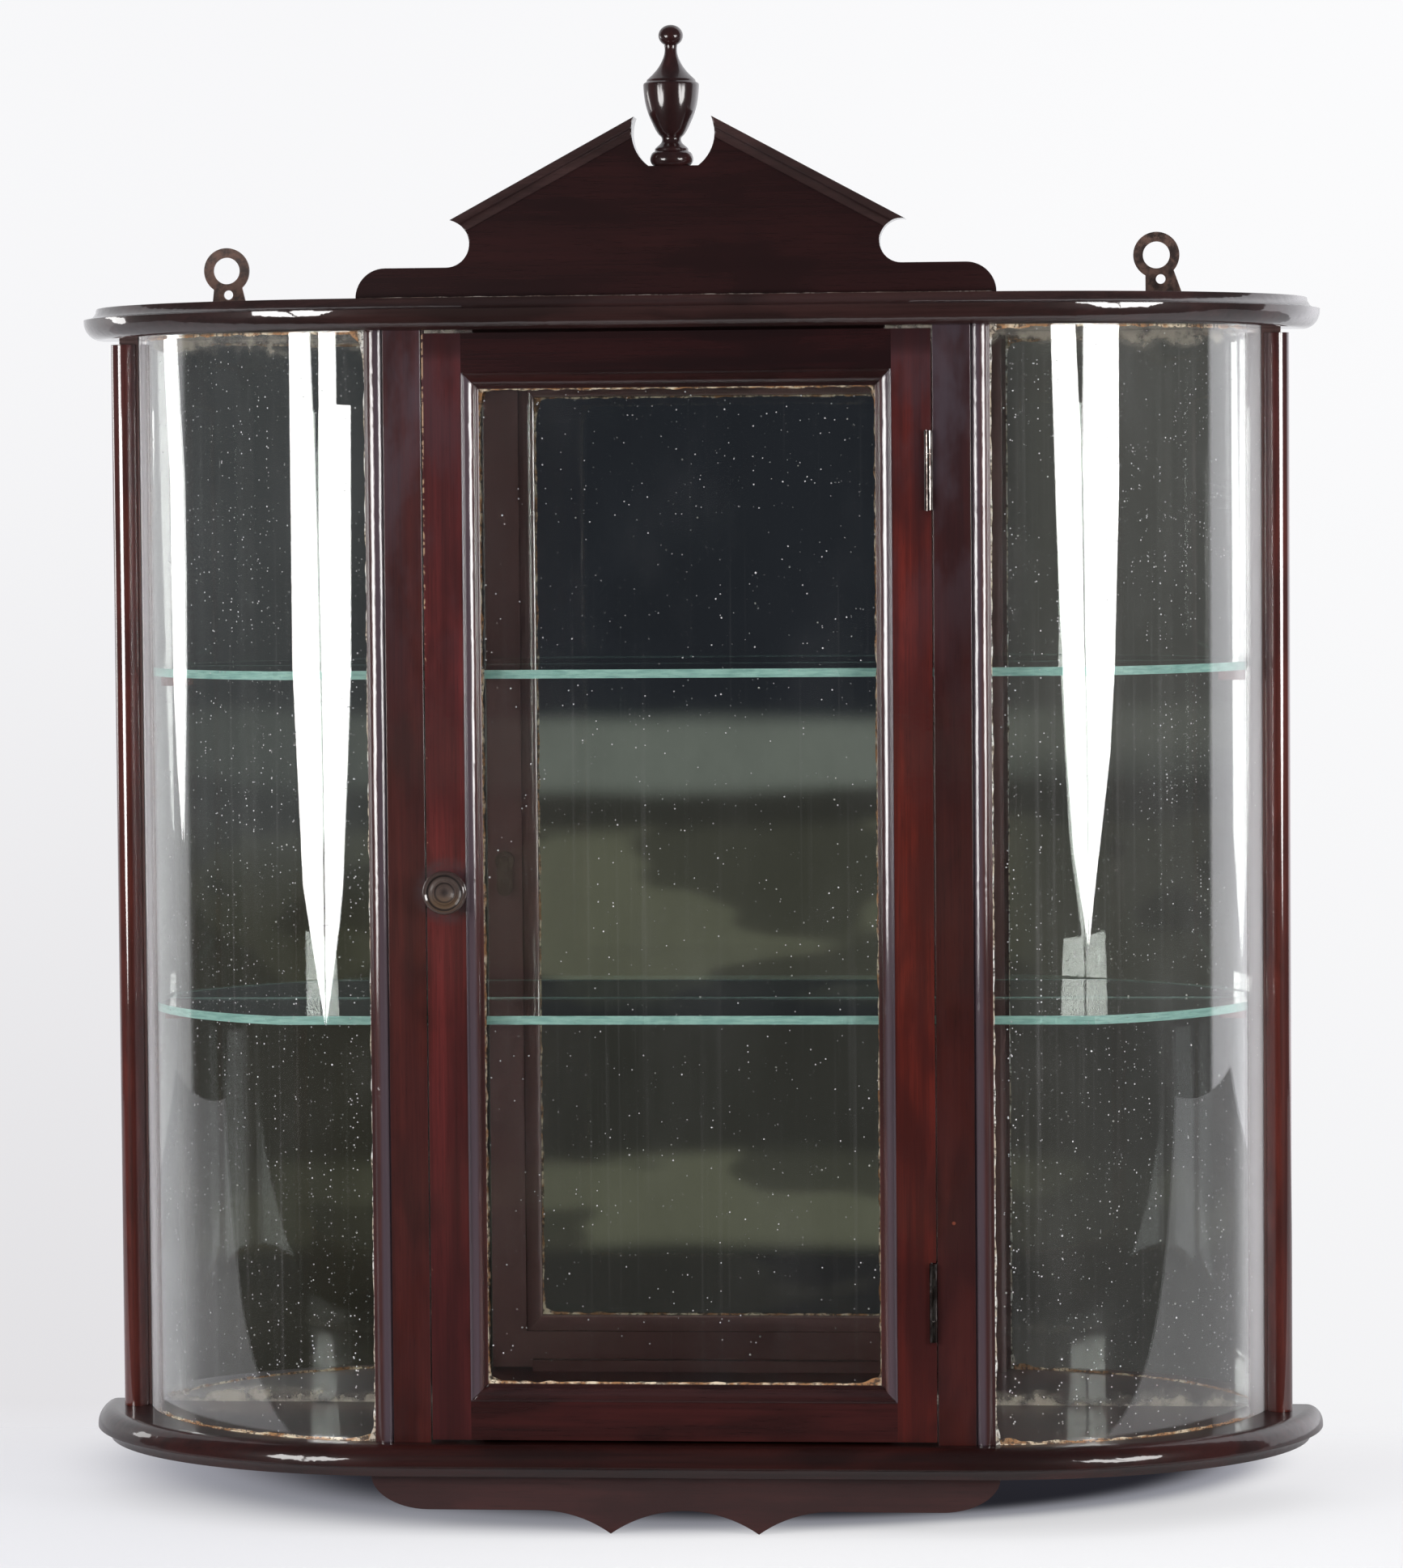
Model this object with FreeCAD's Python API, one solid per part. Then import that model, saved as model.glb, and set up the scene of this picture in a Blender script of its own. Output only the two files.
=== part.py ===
import FreeCAD, Part
import math
import os

# A bow-ended wall display cabinet in polished mahogany, with bent glass sides and a mirror back.
# Sizes are millimetres. X runs to the right, Y runs towards the wall and Z runs up. The origin is
# on the wall, on the centre line, at the underside of the base board.

V = FreeCAD.Vector

# Fits shared by every piece
loose_gap = 0.3               # round a piece that lies in a groove or beside a curved one
joint_gap = 0.1               # round a tenon
screw_gap = 0.05              # round a screw in its hole
running_gap = 0.06            # round a pin or spindle that turns
overrun = 5.0                 # how far a cutting shape runs past the face that it cuts

# Carcase
clear_height = 540.0          # between the two boards
carcase_depth = 132.5         # wall to the face of the front posts
panel_thickness = 5.0
mirror_thickness = 3.0

# Top and base boards, with a quarter round next to the carcase, a nose and a cove beyond it
board_thickness = 15.5
front_overhang = 13.0
side_overhang = 15.6
round_width = 8.5
round_height = 9.3
nose_height = 0.7
nose_step = 0.8
cove_width = 5.7
edge_band = 24.0

# Door
door_width = 245.6
door_thickness = 16.0
door_gap = 1.5                # above and below the door
side_gap = 0.7                # between the door and each post
closing_bevel = 1.0           # taken off the back of the closing edge
stile_width = 19.0
rail_width = 18.9
tenon_length = 8.0
tenon_thickness = 5.0
tenon_width = 11.0
door_glass_thickness = 2.0

# Moulding in front of the door glass
moulding_width = 8.0
moulding_depth = 6.0
moulding_rise = 0.4
moulding_edge = 0.9
moulding_quirk = 0.3
moulding_curve_width = 5.3
moulding_curve_depth = 3.6
moulding_lip_depth = 4.7

# Bead behind the door glass
glazing_width = 7.7
glazing_depth = 5.0
glazing_flat = 2.6
glazing_lip = 1.4

# Front posts
post_flat_width = 18.3
post_depth = 16.0
post_bead_width = 9.2
post_ear_inset = 2.0
bead_quirk = 0.6
bead_radius = 3.5
bead_rise = 0.8
bead_sink = 1.2

# Bent glass sides
bend_radius = 144.0           # outer face of the pane
pane_thickness = 2.5
pane_setback = 3.0            # face of the post to the face of the pane
pane_end_gap = 0.5
pane_back_gap = 0.6
pane_groove = 1.5             # depth of the grooves in the boards

# Back posts
core_depth = 15.5
core_width = 9.9
mirror_margin = 0.7
half_round_width = 12.6
half_round_margin = 1.5
half_round_short = 2.3        # left open below the top board

# Glass shelves
shelf_thickness = 4.2
shelf_setback = 20.0
shelf_gap = 2.2               # to the bent glass
shelf_end_gap = 6.4
lower_shelf_rise = 202.4
upper_shelf_rise = 371.2
rest_height = 5.6
back_rest_width = 13.0
back_rest_depth = 10.0
front_rest_width = 14.0
front_rest_depth = 9.0
front_rest_inset = 2.0

# Pediment
pediment_half = 154.5
pediment_thickness = 12.0
pediment_flat = 14.5          # height of the level ends
pediment_corner = 14.5
gable_half = 112.0
gable_peak = 95.4             # where the two slopes would meet
gable_angle = 28.4
left_scoop_inset = 1.6        # inside the foot of the gable
left_scoop_radius = 11.4
right_scoop_inset = 2.9
right_scoop_radius = 10.5
notch_height = 78.0
notch_radius = 20.0
seat_height = 62.0
raking_width = 8.0
raking_rise = 4.0
raking_fillet = 1.2
raking_low_rise = 0.8

# Finial
finial_x = -1.25
finial_height = 67.6
finial_radius = 13.4
spigot_radius = 3.0
spigot_length = 10.0

# Apron
apron_half = 153.3
apron_thickness = 10.0
apron_drop = 17.2
apron_corner = 28.3
apron_flat_start = 71.5
apron_tip_x = 36.1
apron_tip_drop = 28.5

# Ring hangers
hanger_thickness = 2.0
ring_radius = 11.5
ring_hole = 6.7
neck_half = 7.1
neck_distance = 8.6           # below the middle of the ring
tail_half = 10.9
tail_distance = 31.0
spare_hole = 2.4
spare_distance = 12.2
hanger_screw_distance = 26.0
hanger_screw_half = 5.2
left_hanger_inset = 71.8      # from the end of the top board
left_ring_rise = 19.6
left_hanger_lean = 3.7
right_hanger_inset = 81.2
right_ring_rise = 22.1
right_hanger_lean = 10.0

# Hinges
hinge_length = 38.0
hinge_end = 69.5              # end of the carcase opening to the middle of each hinge
knuckle_radius = 2.0
pin_radius = 0.9
pin_inset = 1.3               # inside the edge of the door
pin_proud = 1.2               # in front of the face of the door
leaf_thickness = 1.2
leaf_gap = 0.3
leaf_reach = 14.0             # depth of the leaves behind the face of the door
hinge_screw_spread = 12.0
hinge_screw_depth = 8.4       # behind the face of the door
low_knuckle_share = 0.27
high_knuckle_share = 0.29

# Knob, spindle and turn catch
knob_height = 269.0           # above the base board
knob_backset = 10.0
knob_radius = 10.7
knob_length = 12.8
knob_start = 0.4              # in front of the face of the door
spindle_radius = 2.5
spindle_bore = 8.0
catch_width = 8.0
catch_thickness = 2.0
catch_reach = 18.5
catch_boss_radius = 5.0
keeper_thickness = 0.8
keeper_height = 18.0
keeper_width = 9.4
keeper_inset = 0.8
keeper_screw_spread = 6.0

# Door stops and glue blocks
stop_half = 100.0
stop_size = 6.0
stop_gap = 0.2
block_length = 24.0
block_size = 10.0
block_x = 70.0

# Screws and pins
board_screw_radius = 1.8
board_screw_head = 3.6
board_screw_length = 38.0
back_screw_inset = 3.3        # from the outer side of the back post
small_screw_radius = 0.9
small_screw_head = 1.9
hinge_screw_length = 9.0
keeper_screw_length = 7.0
hanger_screw_radius = 1.4
hanger_screw_head = 2.8
hanger_screw_length = 14.0
panel_pin_radius = 0.7
panel_pin_head = 1.5
panel_pin_head_depth = 0.8
panel_pin_length = 14.0
panel_pin_count = 6
panel_pin_end = 25.0

# Levels and planes that the sizes above give
base_top = board_thickness
top_under = base_top + clear_height
top_face = top_under + board_thickness
face_y = -carcase_depth
panel_y = -panel_thickness
mirror_y = panel_y - mirror_thickness
door_half = door_width / 2
post_x = door_half + side_gap
post_flat_x = post_x + post_flat_width
post_outer_x = post_flat_x + post_bead_width
post_back_y = face_y + post_depth
door_back_y = face_y + door_thickness
bend_x = post_flat_x
bend_y = face_y + pane_setback + bend_radius
pane_inner_radius = bend_radius - pane_thickness


def bend_reach(radius, y):
    """X where a circle about the bend's centre meets the plane at y."""
    return bend_x + math.sqrt(radius ** 2 - (y - bend_y) ** 2)


core_front_y = panel_y - core_depth
core_inner_x = bend_reach(bend_radius, core_front_y)
core_outer_x = core_inner_x + core_width
mirror_edge_x = bend_reach(bend_radius, mirror_y) + mirror_margin
half_round_x = core_inner_x + half_round_margin + half_round_width / 2
carcase_half = half_round_x + half_round_width / 2
board_half = carcase_half + side_overhang
shelf_half = bend_reach(pane_inner_radius, core_front_y) - shelf_end_gap
opening_half_width = door_half - stile_width
opening_half_height = clear_height / 2 - door_gap - rail_width
opening_z = base_top + clear_height / 2
gable_slope = math.tan(math.radians(gable_angle))
pin_x = door_half - pin_inset
pin_y = face_y - pin_proud
post_leaf_x = post_x - leaf_thickness
door_leaf_x = post_leaf_x - leaf_gap - leaf_thickness
hinge_levels = {
    "lower": base_top + hinge_end,
    "upper": top_under - hinge_end,
}
knob_x = knob_backset - door_half
knob_z = base_top + knob_height


def box(x0, x1, y0, y1, z0, z1):
    return Part.makeBox(x1 - x0, y1 - y0, z1 - z0, V(x0, y0, z0))


def rod(radius, start, along):
    """Round bar from a start point along a vector."""
    return Part.makeCylinder(radius, along.Length, start, along)


def bow(centre, across, along, start, end):
    """Part of an ellipse: centre + across * cos + along * sin, between two angles in degrees."""
    circle = Part.Circle(V(0, 0, 0), V(0, 0, 1), 1)
    arc = Part.ArcOfCircle(circle, math.radians(start), math.radians(end)).toShape()
    square = across.cross(along).normalize()
    stretch = FreeCAD.Matrix(
        across.x, along.x, square.x, centre.x,
        across.y, along.y, square.y, centre.y,
        across.z, along.z, square.z, centre.z,
        0, 0, 0, 1)
    return arc.transformGeometry(stretch)


def line(start, end):
    return Part.makeLine(start, end)


def outline_face(edges):
    return Part.Face(Part.Wire(Part.__sortEdges__(edges)))


def polygon_face(points):
    return Part.Face(Part.makePolygon(points + [points[0]]))


def mirrored(shape):
    """The same shape on the other side of the cabinet."""
    return shape.mirror(V(0, 0, 0), V(1, 0, 0))


def fused(shapes):
    return shapes[0].fuse(shapes[1:]).removeSplitter()


def turned(points, origin, axis, sideways):
    """Solid turned about an axis from (radius, height) points that start and end on it."""
    corners = [origin + sideways * radius + axis * height for radius, height in points]
    return polygon_face(corners).revolve(origin, axis, 360)


def screw(origin, axis, sideways, radius, head_radius, length, grow=0):
    """Countersunk screw with its flat head at the origin, or its hole when grown."""
    head_depth = head_radius - radius
    outline = [
        (0, -grow),
        (head_radius + grow, -grow),
        (head_radius + grow, 0),
        (radius + grow, head_depth),
        (radius + grow, length - radius),
        (0, length + grow),
    ]
    return turned(outline, origin, axis, sideways)


def holes(shape, cuts):
    """Cut every shape of a list out of a shape."""
    for cut in cuts:
        shape = shape.cut(cut)
    return shape


def bent_slab(inner, outer, z0, z1, start, end):
    """Right-hand sector of a ring about the bend's centre, between two angles in degrees."""
    centre = V(bend_x, bend_y, z0)
    up = V(0, 0, 1)
    ring = Part.makeCylinder(outer, z1 - z0, centre, up, end - start)
    ring = ring.cut(Part.makeCylinder(inner, z1 - z0, centre, up, 360))
    ring.rotate(centre, up, start)
    return ring


pane_start = math.degrees(math.asin(pane_end_gap / bend_radius)) - 90
pane_end = math.degrees(math.asin((mirror_y - loose_gap - bend_y) / pane_inner_radius))
groove_end = math.degrees(math.asin((mirror_y - bend_y) / bend_radius))


def bent_pane():
    bottom = base_top - pane_groove
    top = top_under + pane_groove
    return bent_slab(pane_inner_radius, bend_radius, bottom, top, pane_start, pane_end)


def pane_grooves(z0, z1):
    """Groove for both panes, in one board."""
    inner = pane_inner_radius - loose_gap
    groove = bent_slab(inner, bend_radius + loose_gap, z0, z1, -90, groove_end)
    return [groove, mirrored(groove)]


# Boards

def board_edges(inset, z):
    """Curved outline of a board from the wall round the front to the wall again."""
    across = V(board_half - bend_x - inset, 0, 0)
    along = V(0, carcase_depth + front_overhang - inset, 0)
    left = V(-bend_x, 0, z)
    right = V(bend_x, 0, z)
    return [
        bow(left, across, along, 180, 270),
        line(left - along, right - along),
        bow(right, across, along, 270, 360),
    ]


def board_section(face_z, up):
    """Section of the moulded edge, at the left end of the board where it meets the wall."""
    def at(inset, height):
        return V(inset - board_half, 0, face_z + up * height)

    nose_top = round_height + nose_height
    cove_height = board_thickness - nose_top
    cove_end = nose_step + cove_width
    round_centre = at(round_width, round_height)
    cove_centre = at(nose_step, board_thickness)
    wide = V(1, 0, 0)
    high = V(0, 0, up)
    return [
        bow(round_centre, wide * -round_width, high * -round_height, 0, 90),
        line(at(0, round_height), at(0, nose_top)),
        line(at(0, nose_top), at(nose_step, nose_top)),
        bow(cove_centre, wide * cove_width, high * -cove_height, 0, 90),
        line(at(cove_end, board_thickness), at(edge_band, board_thickness)),
        line(at(edge_band, board_thickness), at(edge_band, 0)),
        line(at(edge_band, 0), at(round_width, 0)),
    ]


def moulded_board(face_z, up):
    """D-shaped board with its moulded edge swept round it, from its carcase face outwards."""
    core_inset = (edge_band + round_width) / 2
    low = min(face_z, face_z + up * board_thickness)
    edges = board_edges(core_inset, low)
    core_half = board_half - core_inset
    edges.append(line(V(core_half, 0, low), V(-core_half, 0, low)))
    core = outline_face(edges).extrude(V(0, 0, board_thickness))
    path = Part.Wire(board_edges(0, face_z))
    sweep = Part.BRepOffsetAPI.MakePipeShell(path)
    sweep.setBiNormalMode(V(0, 0, 1))
    sweep.add(Part.Wire(Part.__sortEdges__(board_section(face_z, up))))
    sweep.build()
    sweep.makeSolid()
    return fused([core, sweep.shape()])


# Screws and pins

def board_screws(face_z, up, grow=0):
    """Screws through one board into the end of each post."""
    front_y = face_y + post_depth / 2
    back_y = (core_front_y + mirror_y) / 2
    front_x = (post_x + post_flat_x) / 2
    back_x = core_outer_x - back_screw_inset
    head_z = face_z + up * board_thickness
    places = [(front_x, front_y), (back_x, back_y), (-front_x, front_y), (-back_x, back_y)]
    return [
        screw(V(x, y, head_z), V(0, 0, -up), V(1, 0, 0),
              board_screw_radius, board_screw_head, board_screw_length, grow)
        for x, y in places
    ]


def hinge_screws(z, side, grow=0):
    """Screws of one leaf: side 1 goes into the post and side -1 into the door."""
    head_x = post_leaf_x if side > 0 else door_leaf_x + leaf_thickness
    y = face_y + hinge_screw_depth
    return [
        screw(V(head_x, y, z + offset), V(side, 0, 0), V(0, 1, 0),
              small_screw_radius, small_screw_head, hinge_screw_length, grow)
        for offset in (-hinge_screw_spread, hinge_screw_spread)
    ]


def keeper_screws(grow=0):
    x = -post_x - keeper_inset - keeper_width / 2
    return [
        screw(V(x, post_back_y + keeper_thickness, knob_z + side * keeper_screw_spread),
              V(0, -1, 0), V(1, 0, 0),
              small_screw_radius, small_screw_head, keeper_screw_length, grow)
        for side in (-1, 1)
    ]


def hanger_place(x, ring_rise, lean):
    """Placement of a hanger: ring centre at the origin, tail hanging along -Z before leaning."""
    centre = V(x, 0, top_face + ring_rise)
    return FreeCAD.Placement(centre, FreeCAD.Rotation(V(0, 1, 0), -lean))


hanger_places = {
    "left": hanger_place(left_hanger_inset - board_half, left_ring_rise, left_hanger_lean),
    "right": hanger_place(board_half - right_hanger_inset, right_ring_rise, right_hanger_lean),
}


def hanger_screws(place, grow=0):
    found = []
    for side in (-1, 1):
        head = place.multVec(V(side * hanger_screw_half, 0, -hanger_screw_distance))
        found.append(screw(head, V(0, -1, 0), V(1, 0, 0), hanger_screw_radius,
                           hanger_screw_head, hanger_screw_length, grow))
    return found


def panel_pins(grow=0):
    """Flat-headed pins through the edges of the back panel into the back posts."""
    x = (mirror_edge_x + core_outer_x) / 2
    step = (clear_height - 2 * panel_pin_end) / (panel_pin_count - 1)
    outline = [
        (0, -grow),
        (panel_pin_head + grow, -grow),
        (panel_pin_head + grow, panel_pin_head_depth),
        (panel_pin_radius + grow, panel_pin_head_depth),
        (panel_pin_radius + grow, panel_pin_length - panel_pin_radius),
        (0, panel_pin_length + grow),
    ]
    return [
        turned(outline, V(side * x, 0, base_top + panel_pin_end + step * index),
               V(0, -1, 0), V(1, 0, 0))
        for side in (-1, 1)
        for index in range(panel_pin_count)
    ]


# Hangers

def hanger_plate(grow=0):
    """Ring plate about its ring centre, standing in the XZ plane with its back on the wall."""
    depth = hanger_thickness
    tail = polygon_face([
        V(-neck_half - grow, -depth, -neck_distance),
        V(neck_half + grow, -depth, -neck_distance),
        V(tail_half + grow, -depth, -tail_distance - grow),
        V(-tail_half - grow, -depth, -tail_distance - grow),
    ]).extrude(V(0, depth, 0))
    ring = rod(ring_radius + grow, V(0, -depth, 0), V(0, depth, 0))
    return fused([tail, ring])


def hanger(place):
    plate = hanger_plate()
    through = V(0, hanger_thickness + 2 * overrun, 0)
    for radius, drop in ((ring_hole, 0), (spare_hole, spare_distance)):
        plate = plate.cut(rod(radius, V(0, -hanger_thickness - overrun, -drop), through))
    plate.Placement = place
    return holes(plate, hanger_screws(place, screw_gap))


def hanger_recess(place):
    recess = hanger_plate(loose_gap)
    recess.Placement = place
    return recess


# Carcase pieces

def top_board():
    board = moulded_board(top_under, 1)
    cuts = pane_grooves(top_under - overrun, top_under + pane_groove)
    cuts += board_screws(top_under, 1, screw_gap)
    for place in hanger_places.values():
        cuts.append(hanger_recess(place))
        cuts += hanger_screws(place, screw_gap)
    return holes(board, cuts)


def base_board():
    board = moulded_board(base_top, -1)
    cuts = pane_grooves(base_top - pane_groove, base_top + overrun)
    cuts += board_screws(base_top, -1, screw_gap)
    return holes(board, cuts)


def both_board_screws(grow=0):
    return board_screws(top_under, 1, grow) + board_screws(base_top, -1, grow)


def front_post():
    """Right-hand front post: its face, and the ear that stands behind the bent glass."""
    ear_y = face_y + pane_setback + pane_thickness + pane_back_gap
    core = box(post_x, post_flat_x, face_y, post_back_y, base_top, top_under)
    ear = box(post_flat_x, post_outer_x - post_ear_inset, ear_y, post_back_y, base_top, top_under)
    return holes(fused([core, ear]), both_board_screws(screw_gap))


def post_bead():
    """Right-hand bead that covers the front edge of the bent glass."""
    back_y = face_y + pane_setback - loose_gap
    sink_y = face_y + bead_sink
    round_start = post_flat_x + bead_quirk
    round_end = round_start + 2 * bead_radius
    middle = V(round_start + bead_radius, sink_y, base_top)
    corners = [
        V(round_end, sink_y, base_top),
        V(post_outer_x, sink_y, base_top),
        V(post_outer_x, back_y, base_top),
        V(post_flat_x, back_y, base_top),
        V(post_flat_x, sink_y, base_top),
        V(round_start, sink_y, base_top),
    ]
    edges = [line(a, b) for a, b in zip(corners, corners[1:])]
    edges.append(bow(middle, V(bead_radius, 0, 0), V(0, -bead_sink - bead_rise, 0), 0, 180))
    return outline_face(edges).extrude(V(0, 0, clear_height))


def back_post():
    """Right-hand back post, hollowed on its inner side where the bent glass lies."""
    post = box(core_inner_x, core_outer_x, core_front_y, panel_y, base_top, top_under)
    sweep = rod(bend_radius + loose_gap, V(bend_x, bend_y, base_top), V(0, 0, clear_height))
    rebate = box(core_inner_x - overrun, mirror_edge_x, mirror_y, panel_y + overrun,
                 base_top, top_under)
    post = post.cut(sweep).cut(rebate)
    return holes(post, both_board_screws(screw_gap) + panel_pins(screw_gap))


def half_round():
    radius = half_round_width / 2
    height = clear_height - half_round_short
    centre = V(half_round_x, core_front_y, base_top)
    bar = rod(radius, centre, V(0, 0, height))
    behind = box(half_round_x - 2 * radius, half_round_x + 2 * radius,
                 core_front_y, core_front_y + 2 * radius, base_top, base_top + height)
    return bar.cut(behind)


def back_mirror():
    half = mirror_edge_x - loose_gap
    return box(-half, half, mirror_y, panel_y, base_top, top_under)


def back_panel():
    panel = box(-core_outer_x, core_outer_x, panel_y, 0, base_top, top_under)
    return holes(panel, panel_pins(screw_gap))


def shelf(rise):
    """Glass shelf: straight front, ends that follow the bent glass, straight back."""
    z = base_top + rise
    front_y = face_y + shelf_setback
    back_y = mirror_y - loose_gap
    slab = box(-shelf_half, shelf_half, front_y, back_y, z, z + shelf_thickness)
    radius = pane_inner_radius - shelf_gap
    up = V(0, 0, shelf_thickness)
    bows = [rod(radius, V(side * bend_x, bend_y, z), up) for side in (-1, 1)]
    middle = box(-bend_x, bend_x, front_y - overrun, bend_y, z, z + shelf_thickness)
    return slab.common(fused(bows + [middle]))


shelf_levels = [base_top + lower_shelf_rise, base_top + upper_shelf_rise]


def back_shelf_rests():
    rests = []
    for z in shelf_levels:
        rest = box(shelf_half - back_rest_width, shelf_half, mirror_y - back_rest_depth, mirror_y,
                   z - rest_height, z)
        rests += [rest, mirrored(rest)]
    return rests


def front_shelf_rests():
    rests = []
    for z in shelf_levels:
        inner = post_x + front_rest_inset
        rest = box(inner, inner + front_rest_width, post_back_y, post_back_y + front_rest_depth,
                   z - rest_height, z)
        rests += [rest, mirrored(rest)]
    return rests


def door_stop(z):
    y = door_back_y + stop_gap
    return box(-stop_half, stop_half, y, y + stop_size, z, z + stop_size)


def glue_blocks(y, z):
    """Pair of square blocks behind an upright board."""
    block = box(block_x, block_x + block_length, y, y + block_size, z, z + block_size)
    return [block, mirrored(block)]


# Pediment and finial

cut_front = face_y - raking_rise - overrun
cut_through = V(0, pediment_thickness + raking_rise + 2 * overrun, 0)


def scoop(x, radius):
    """Round bite at the right-hand foot of the gable, open towards the level end."""
    flat_z = top_face + pediment_flat
    bite = rod(radius, V(x, cut_front, flat_z + radius), cut_through)
    mouth = box(x, x + 2 * radius, cut_front, cut_front + cut_through.y, flat_z, flat_z + radius)
    return bite.fuse(mouth)


def notch():
    """Round notch at the peak of the gable, with a level seat for the finial."""
    low_z = top_face + notch_height - notch_radius
    bite = rod(notch_radius, V(0, cut_front, top_face + notch_height), cut_through)
    seat = box(-notch_radius, notch_radius, cut_front, cut_front + cut_through.y,
               low_z - overrun, top_face + seat_height)
    return bite.cut(seat)


def pediment_board():
    foot_z = top_face + pediment_flat
    level_half = pediment_half - pediment_corner
    wide = V(pediment_corner, 0, 0)
    high = V(0, 0, pediment_flat)
    foot = outline_face([
        line(V(-pediment_half, face_y, top_face), V(pediment_half, face_y, top_face)),
        bow(V(level_half, face_y, top_face), wide, high, 0, 90),
        line(V(level_half, face_y, foot_z), V(-level_half, face_y, foot_z)),
        bow(V(-level_half, face_y, top_face), wide, high, 90, 180),
    ])
    shoulder_z = top_face + gable_peak - gable_half * gable_slope
    gable = polygon_face([
        V(-gable_half, face_y, top_face),
        V(gable_half, face_y, top_face),
        V(gable_half, face_y, shoulder_z),
        V(0, face_y, top_face + gable_peak),
        V(-gable_half, face_y, shoulder_z),
    ])
    back = V(0, pediment_thickness, 0)
    board = fused([foot.extrude(back), gable.extrude(back)])
    left_scoop = mirrored(scoop(gable_half - left_scoop_inset, left_scoop_radius))
    right_scoop = scoop(gable_half - right_scoop_inset, right_scoop_radius)
    return holes(board, [left_scoop, right_scoop, notch(), finial_spigot(joint_gap)])


def raking_moulding(foot_scoop):
    """Right-hand moulding along the slope of the gable, cut off by the scoop at its foot."""
    angle = math.radians(gable_angle)
    down = V(math.cos(angle), 0, -math.sin(angle))
    inward = V(-math.sin(angle), 0, -math.cos(angle))
    forward = V(0, -1, 0)
    peak = V(0, face_y, top_face + gable_peak)
    half_width = (raking_width - 2 * raking_fillet) / 2
    middle_rise = (raking_rise + raking_low_rise) / 2
    curve_rise = V(0, -1, 0) * ((raking_rise - raking_low_rise) / 2)

    def at(width, rise):
        return peak + inward * width + forward * rise

    low_fillet = raking_width - raking_fillet
    section = outline_face([
        line(at(0, 0), at(0, raking_rise)),
        line(at(0, raking_rise), at(raking_fillet, raking_rise)),
        bow(at(raking_fillet, middle_rise), inward * half_width, curve_rise, 0, 90),
        bow(at(low_fillet, middle_rise), inward * half_width, curve_rise, 180, 270),
        line(at(low_fillet, raking_low_rise), at(raking_width, raking_low_rise)),
        line(at(raking_width, raking_low_rise), at(raking_width, 0)),
        line(at(raking_width, 0), at(0, 0)),
    ])
    length = gable_half / math.cos(angle)
    strip = holes(section.extrude(down * length), [foot_scoop, notch()])
    return max(strip.Solids, key=lambda solid: solid.Volume)


finial_y = face_y + pediment_thickness / 2
finial_z = top_face + seat_height

# Turned outline from the seat up, as shares of the finial's radius and height
finial_foot_shares = [
    (0.62, 0.0), (0.70, 0.012), (0.765, 0.035), (0.775, 0.052), (0.75, 0.075),
    (0.70, 0.093), (0.62, 0.103), (0.60, 0.109), (0.60, 0.122),
]
finial_neck_shares = [(0.57, 0.130), (0.44, 0.152), (0.36, 0.172), (0.34, 0.190), (0.37, 0.207)]
finial_body_shares = [
    (0.45, 0.222), (0.50, 0.235), (0.66, 0.294), (0.80, 0.358),
    (0.91, 0.428), (0.975, 0.505), (1.0, 0.575),
]
finial_flare_shares = [
    (0.985, 0.585), (0.885, 0.598), (0.865, 0.612), (0.66, 0.650), (0.45, 0.700),
    (0.30, 0.755), (0.23, 0.800), (0.22, 0.835), (0.235, 0.855),
]
ball_radius_share = 0.44
ball_middle_share = 0.924


def finial_spigot(grow=0):
    foot = V(finial_x, finial_y, finial_z - spigot_length - grow)
    return rod(spigot_radius + grow, foot, V(0, 0, spigot_length + grow))


def smooth_run(points):
    """One smooth edge through a run of points."""
    curve = Part.BSplineCurve()
    curve.interpolate(points)
    return curve.toShape()


def finial():
    def at(share):
        across = finial_x + finial_radius * share[0]
        return V(across, finial_y, finial_z + finial_height * share[1])

    foot = [at(share) for share in finial_foot_shares]
    neck = [at(share) for share in finial_neck_shares]
    body = [at(share) for share in finial_body_shares]
    flare = [at(share) for share in finial_flare_shares]
    ball_middle = finial_z + finial_height * ball_middle_share
    ball_high = finial_z + finial_height - ball_middle
    ball_wide = finial_radius * ball_radius_share
    neck_top = flare[-1]
    meet = math.degrees(math.asin((neck_top.z - ball_middle) / ball_high))
    ball_start = V(finial_x + ball_wide * math.cos(math.radians(meet)), finial_y, neck_top.z)
    top = V(finial_x, finial_y, finial_z + finial_height)
    axis_foot = V(finial_x, finial_y, finial_z)
    ball_centre = V(finial_x, finial_y, ball_middle)
    ball = bow(ball_centre, V(ball_wide, 0, 0), V(0, 0, ball_high), meet, 90)
    edges = [line(axis_foot, foot[0]), smooth_run(foot[:7])]
    edges += [line(a, b) for a, b in zip(foot[6:], foot[7:])]
    edges += [line(foot[-1], neck[0]), smooth_run(neck), line(neck[-1], body[0])]
    edges += [smooth_run(body), line(body[-1], flare[0]), line(flare[0], flare[1])]
    edges += [line(flare[1], flare[2]), smooth_run(flare[2:]), line(neck_top, ball_start)]
    edges += [ball, line(top, axis_foot)]
    shape = outline_face(edges).revolve(axis_foot, V(0, 0, 1), 360)
    return fused([shape, finial_spigot()])


# Apron

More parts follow.
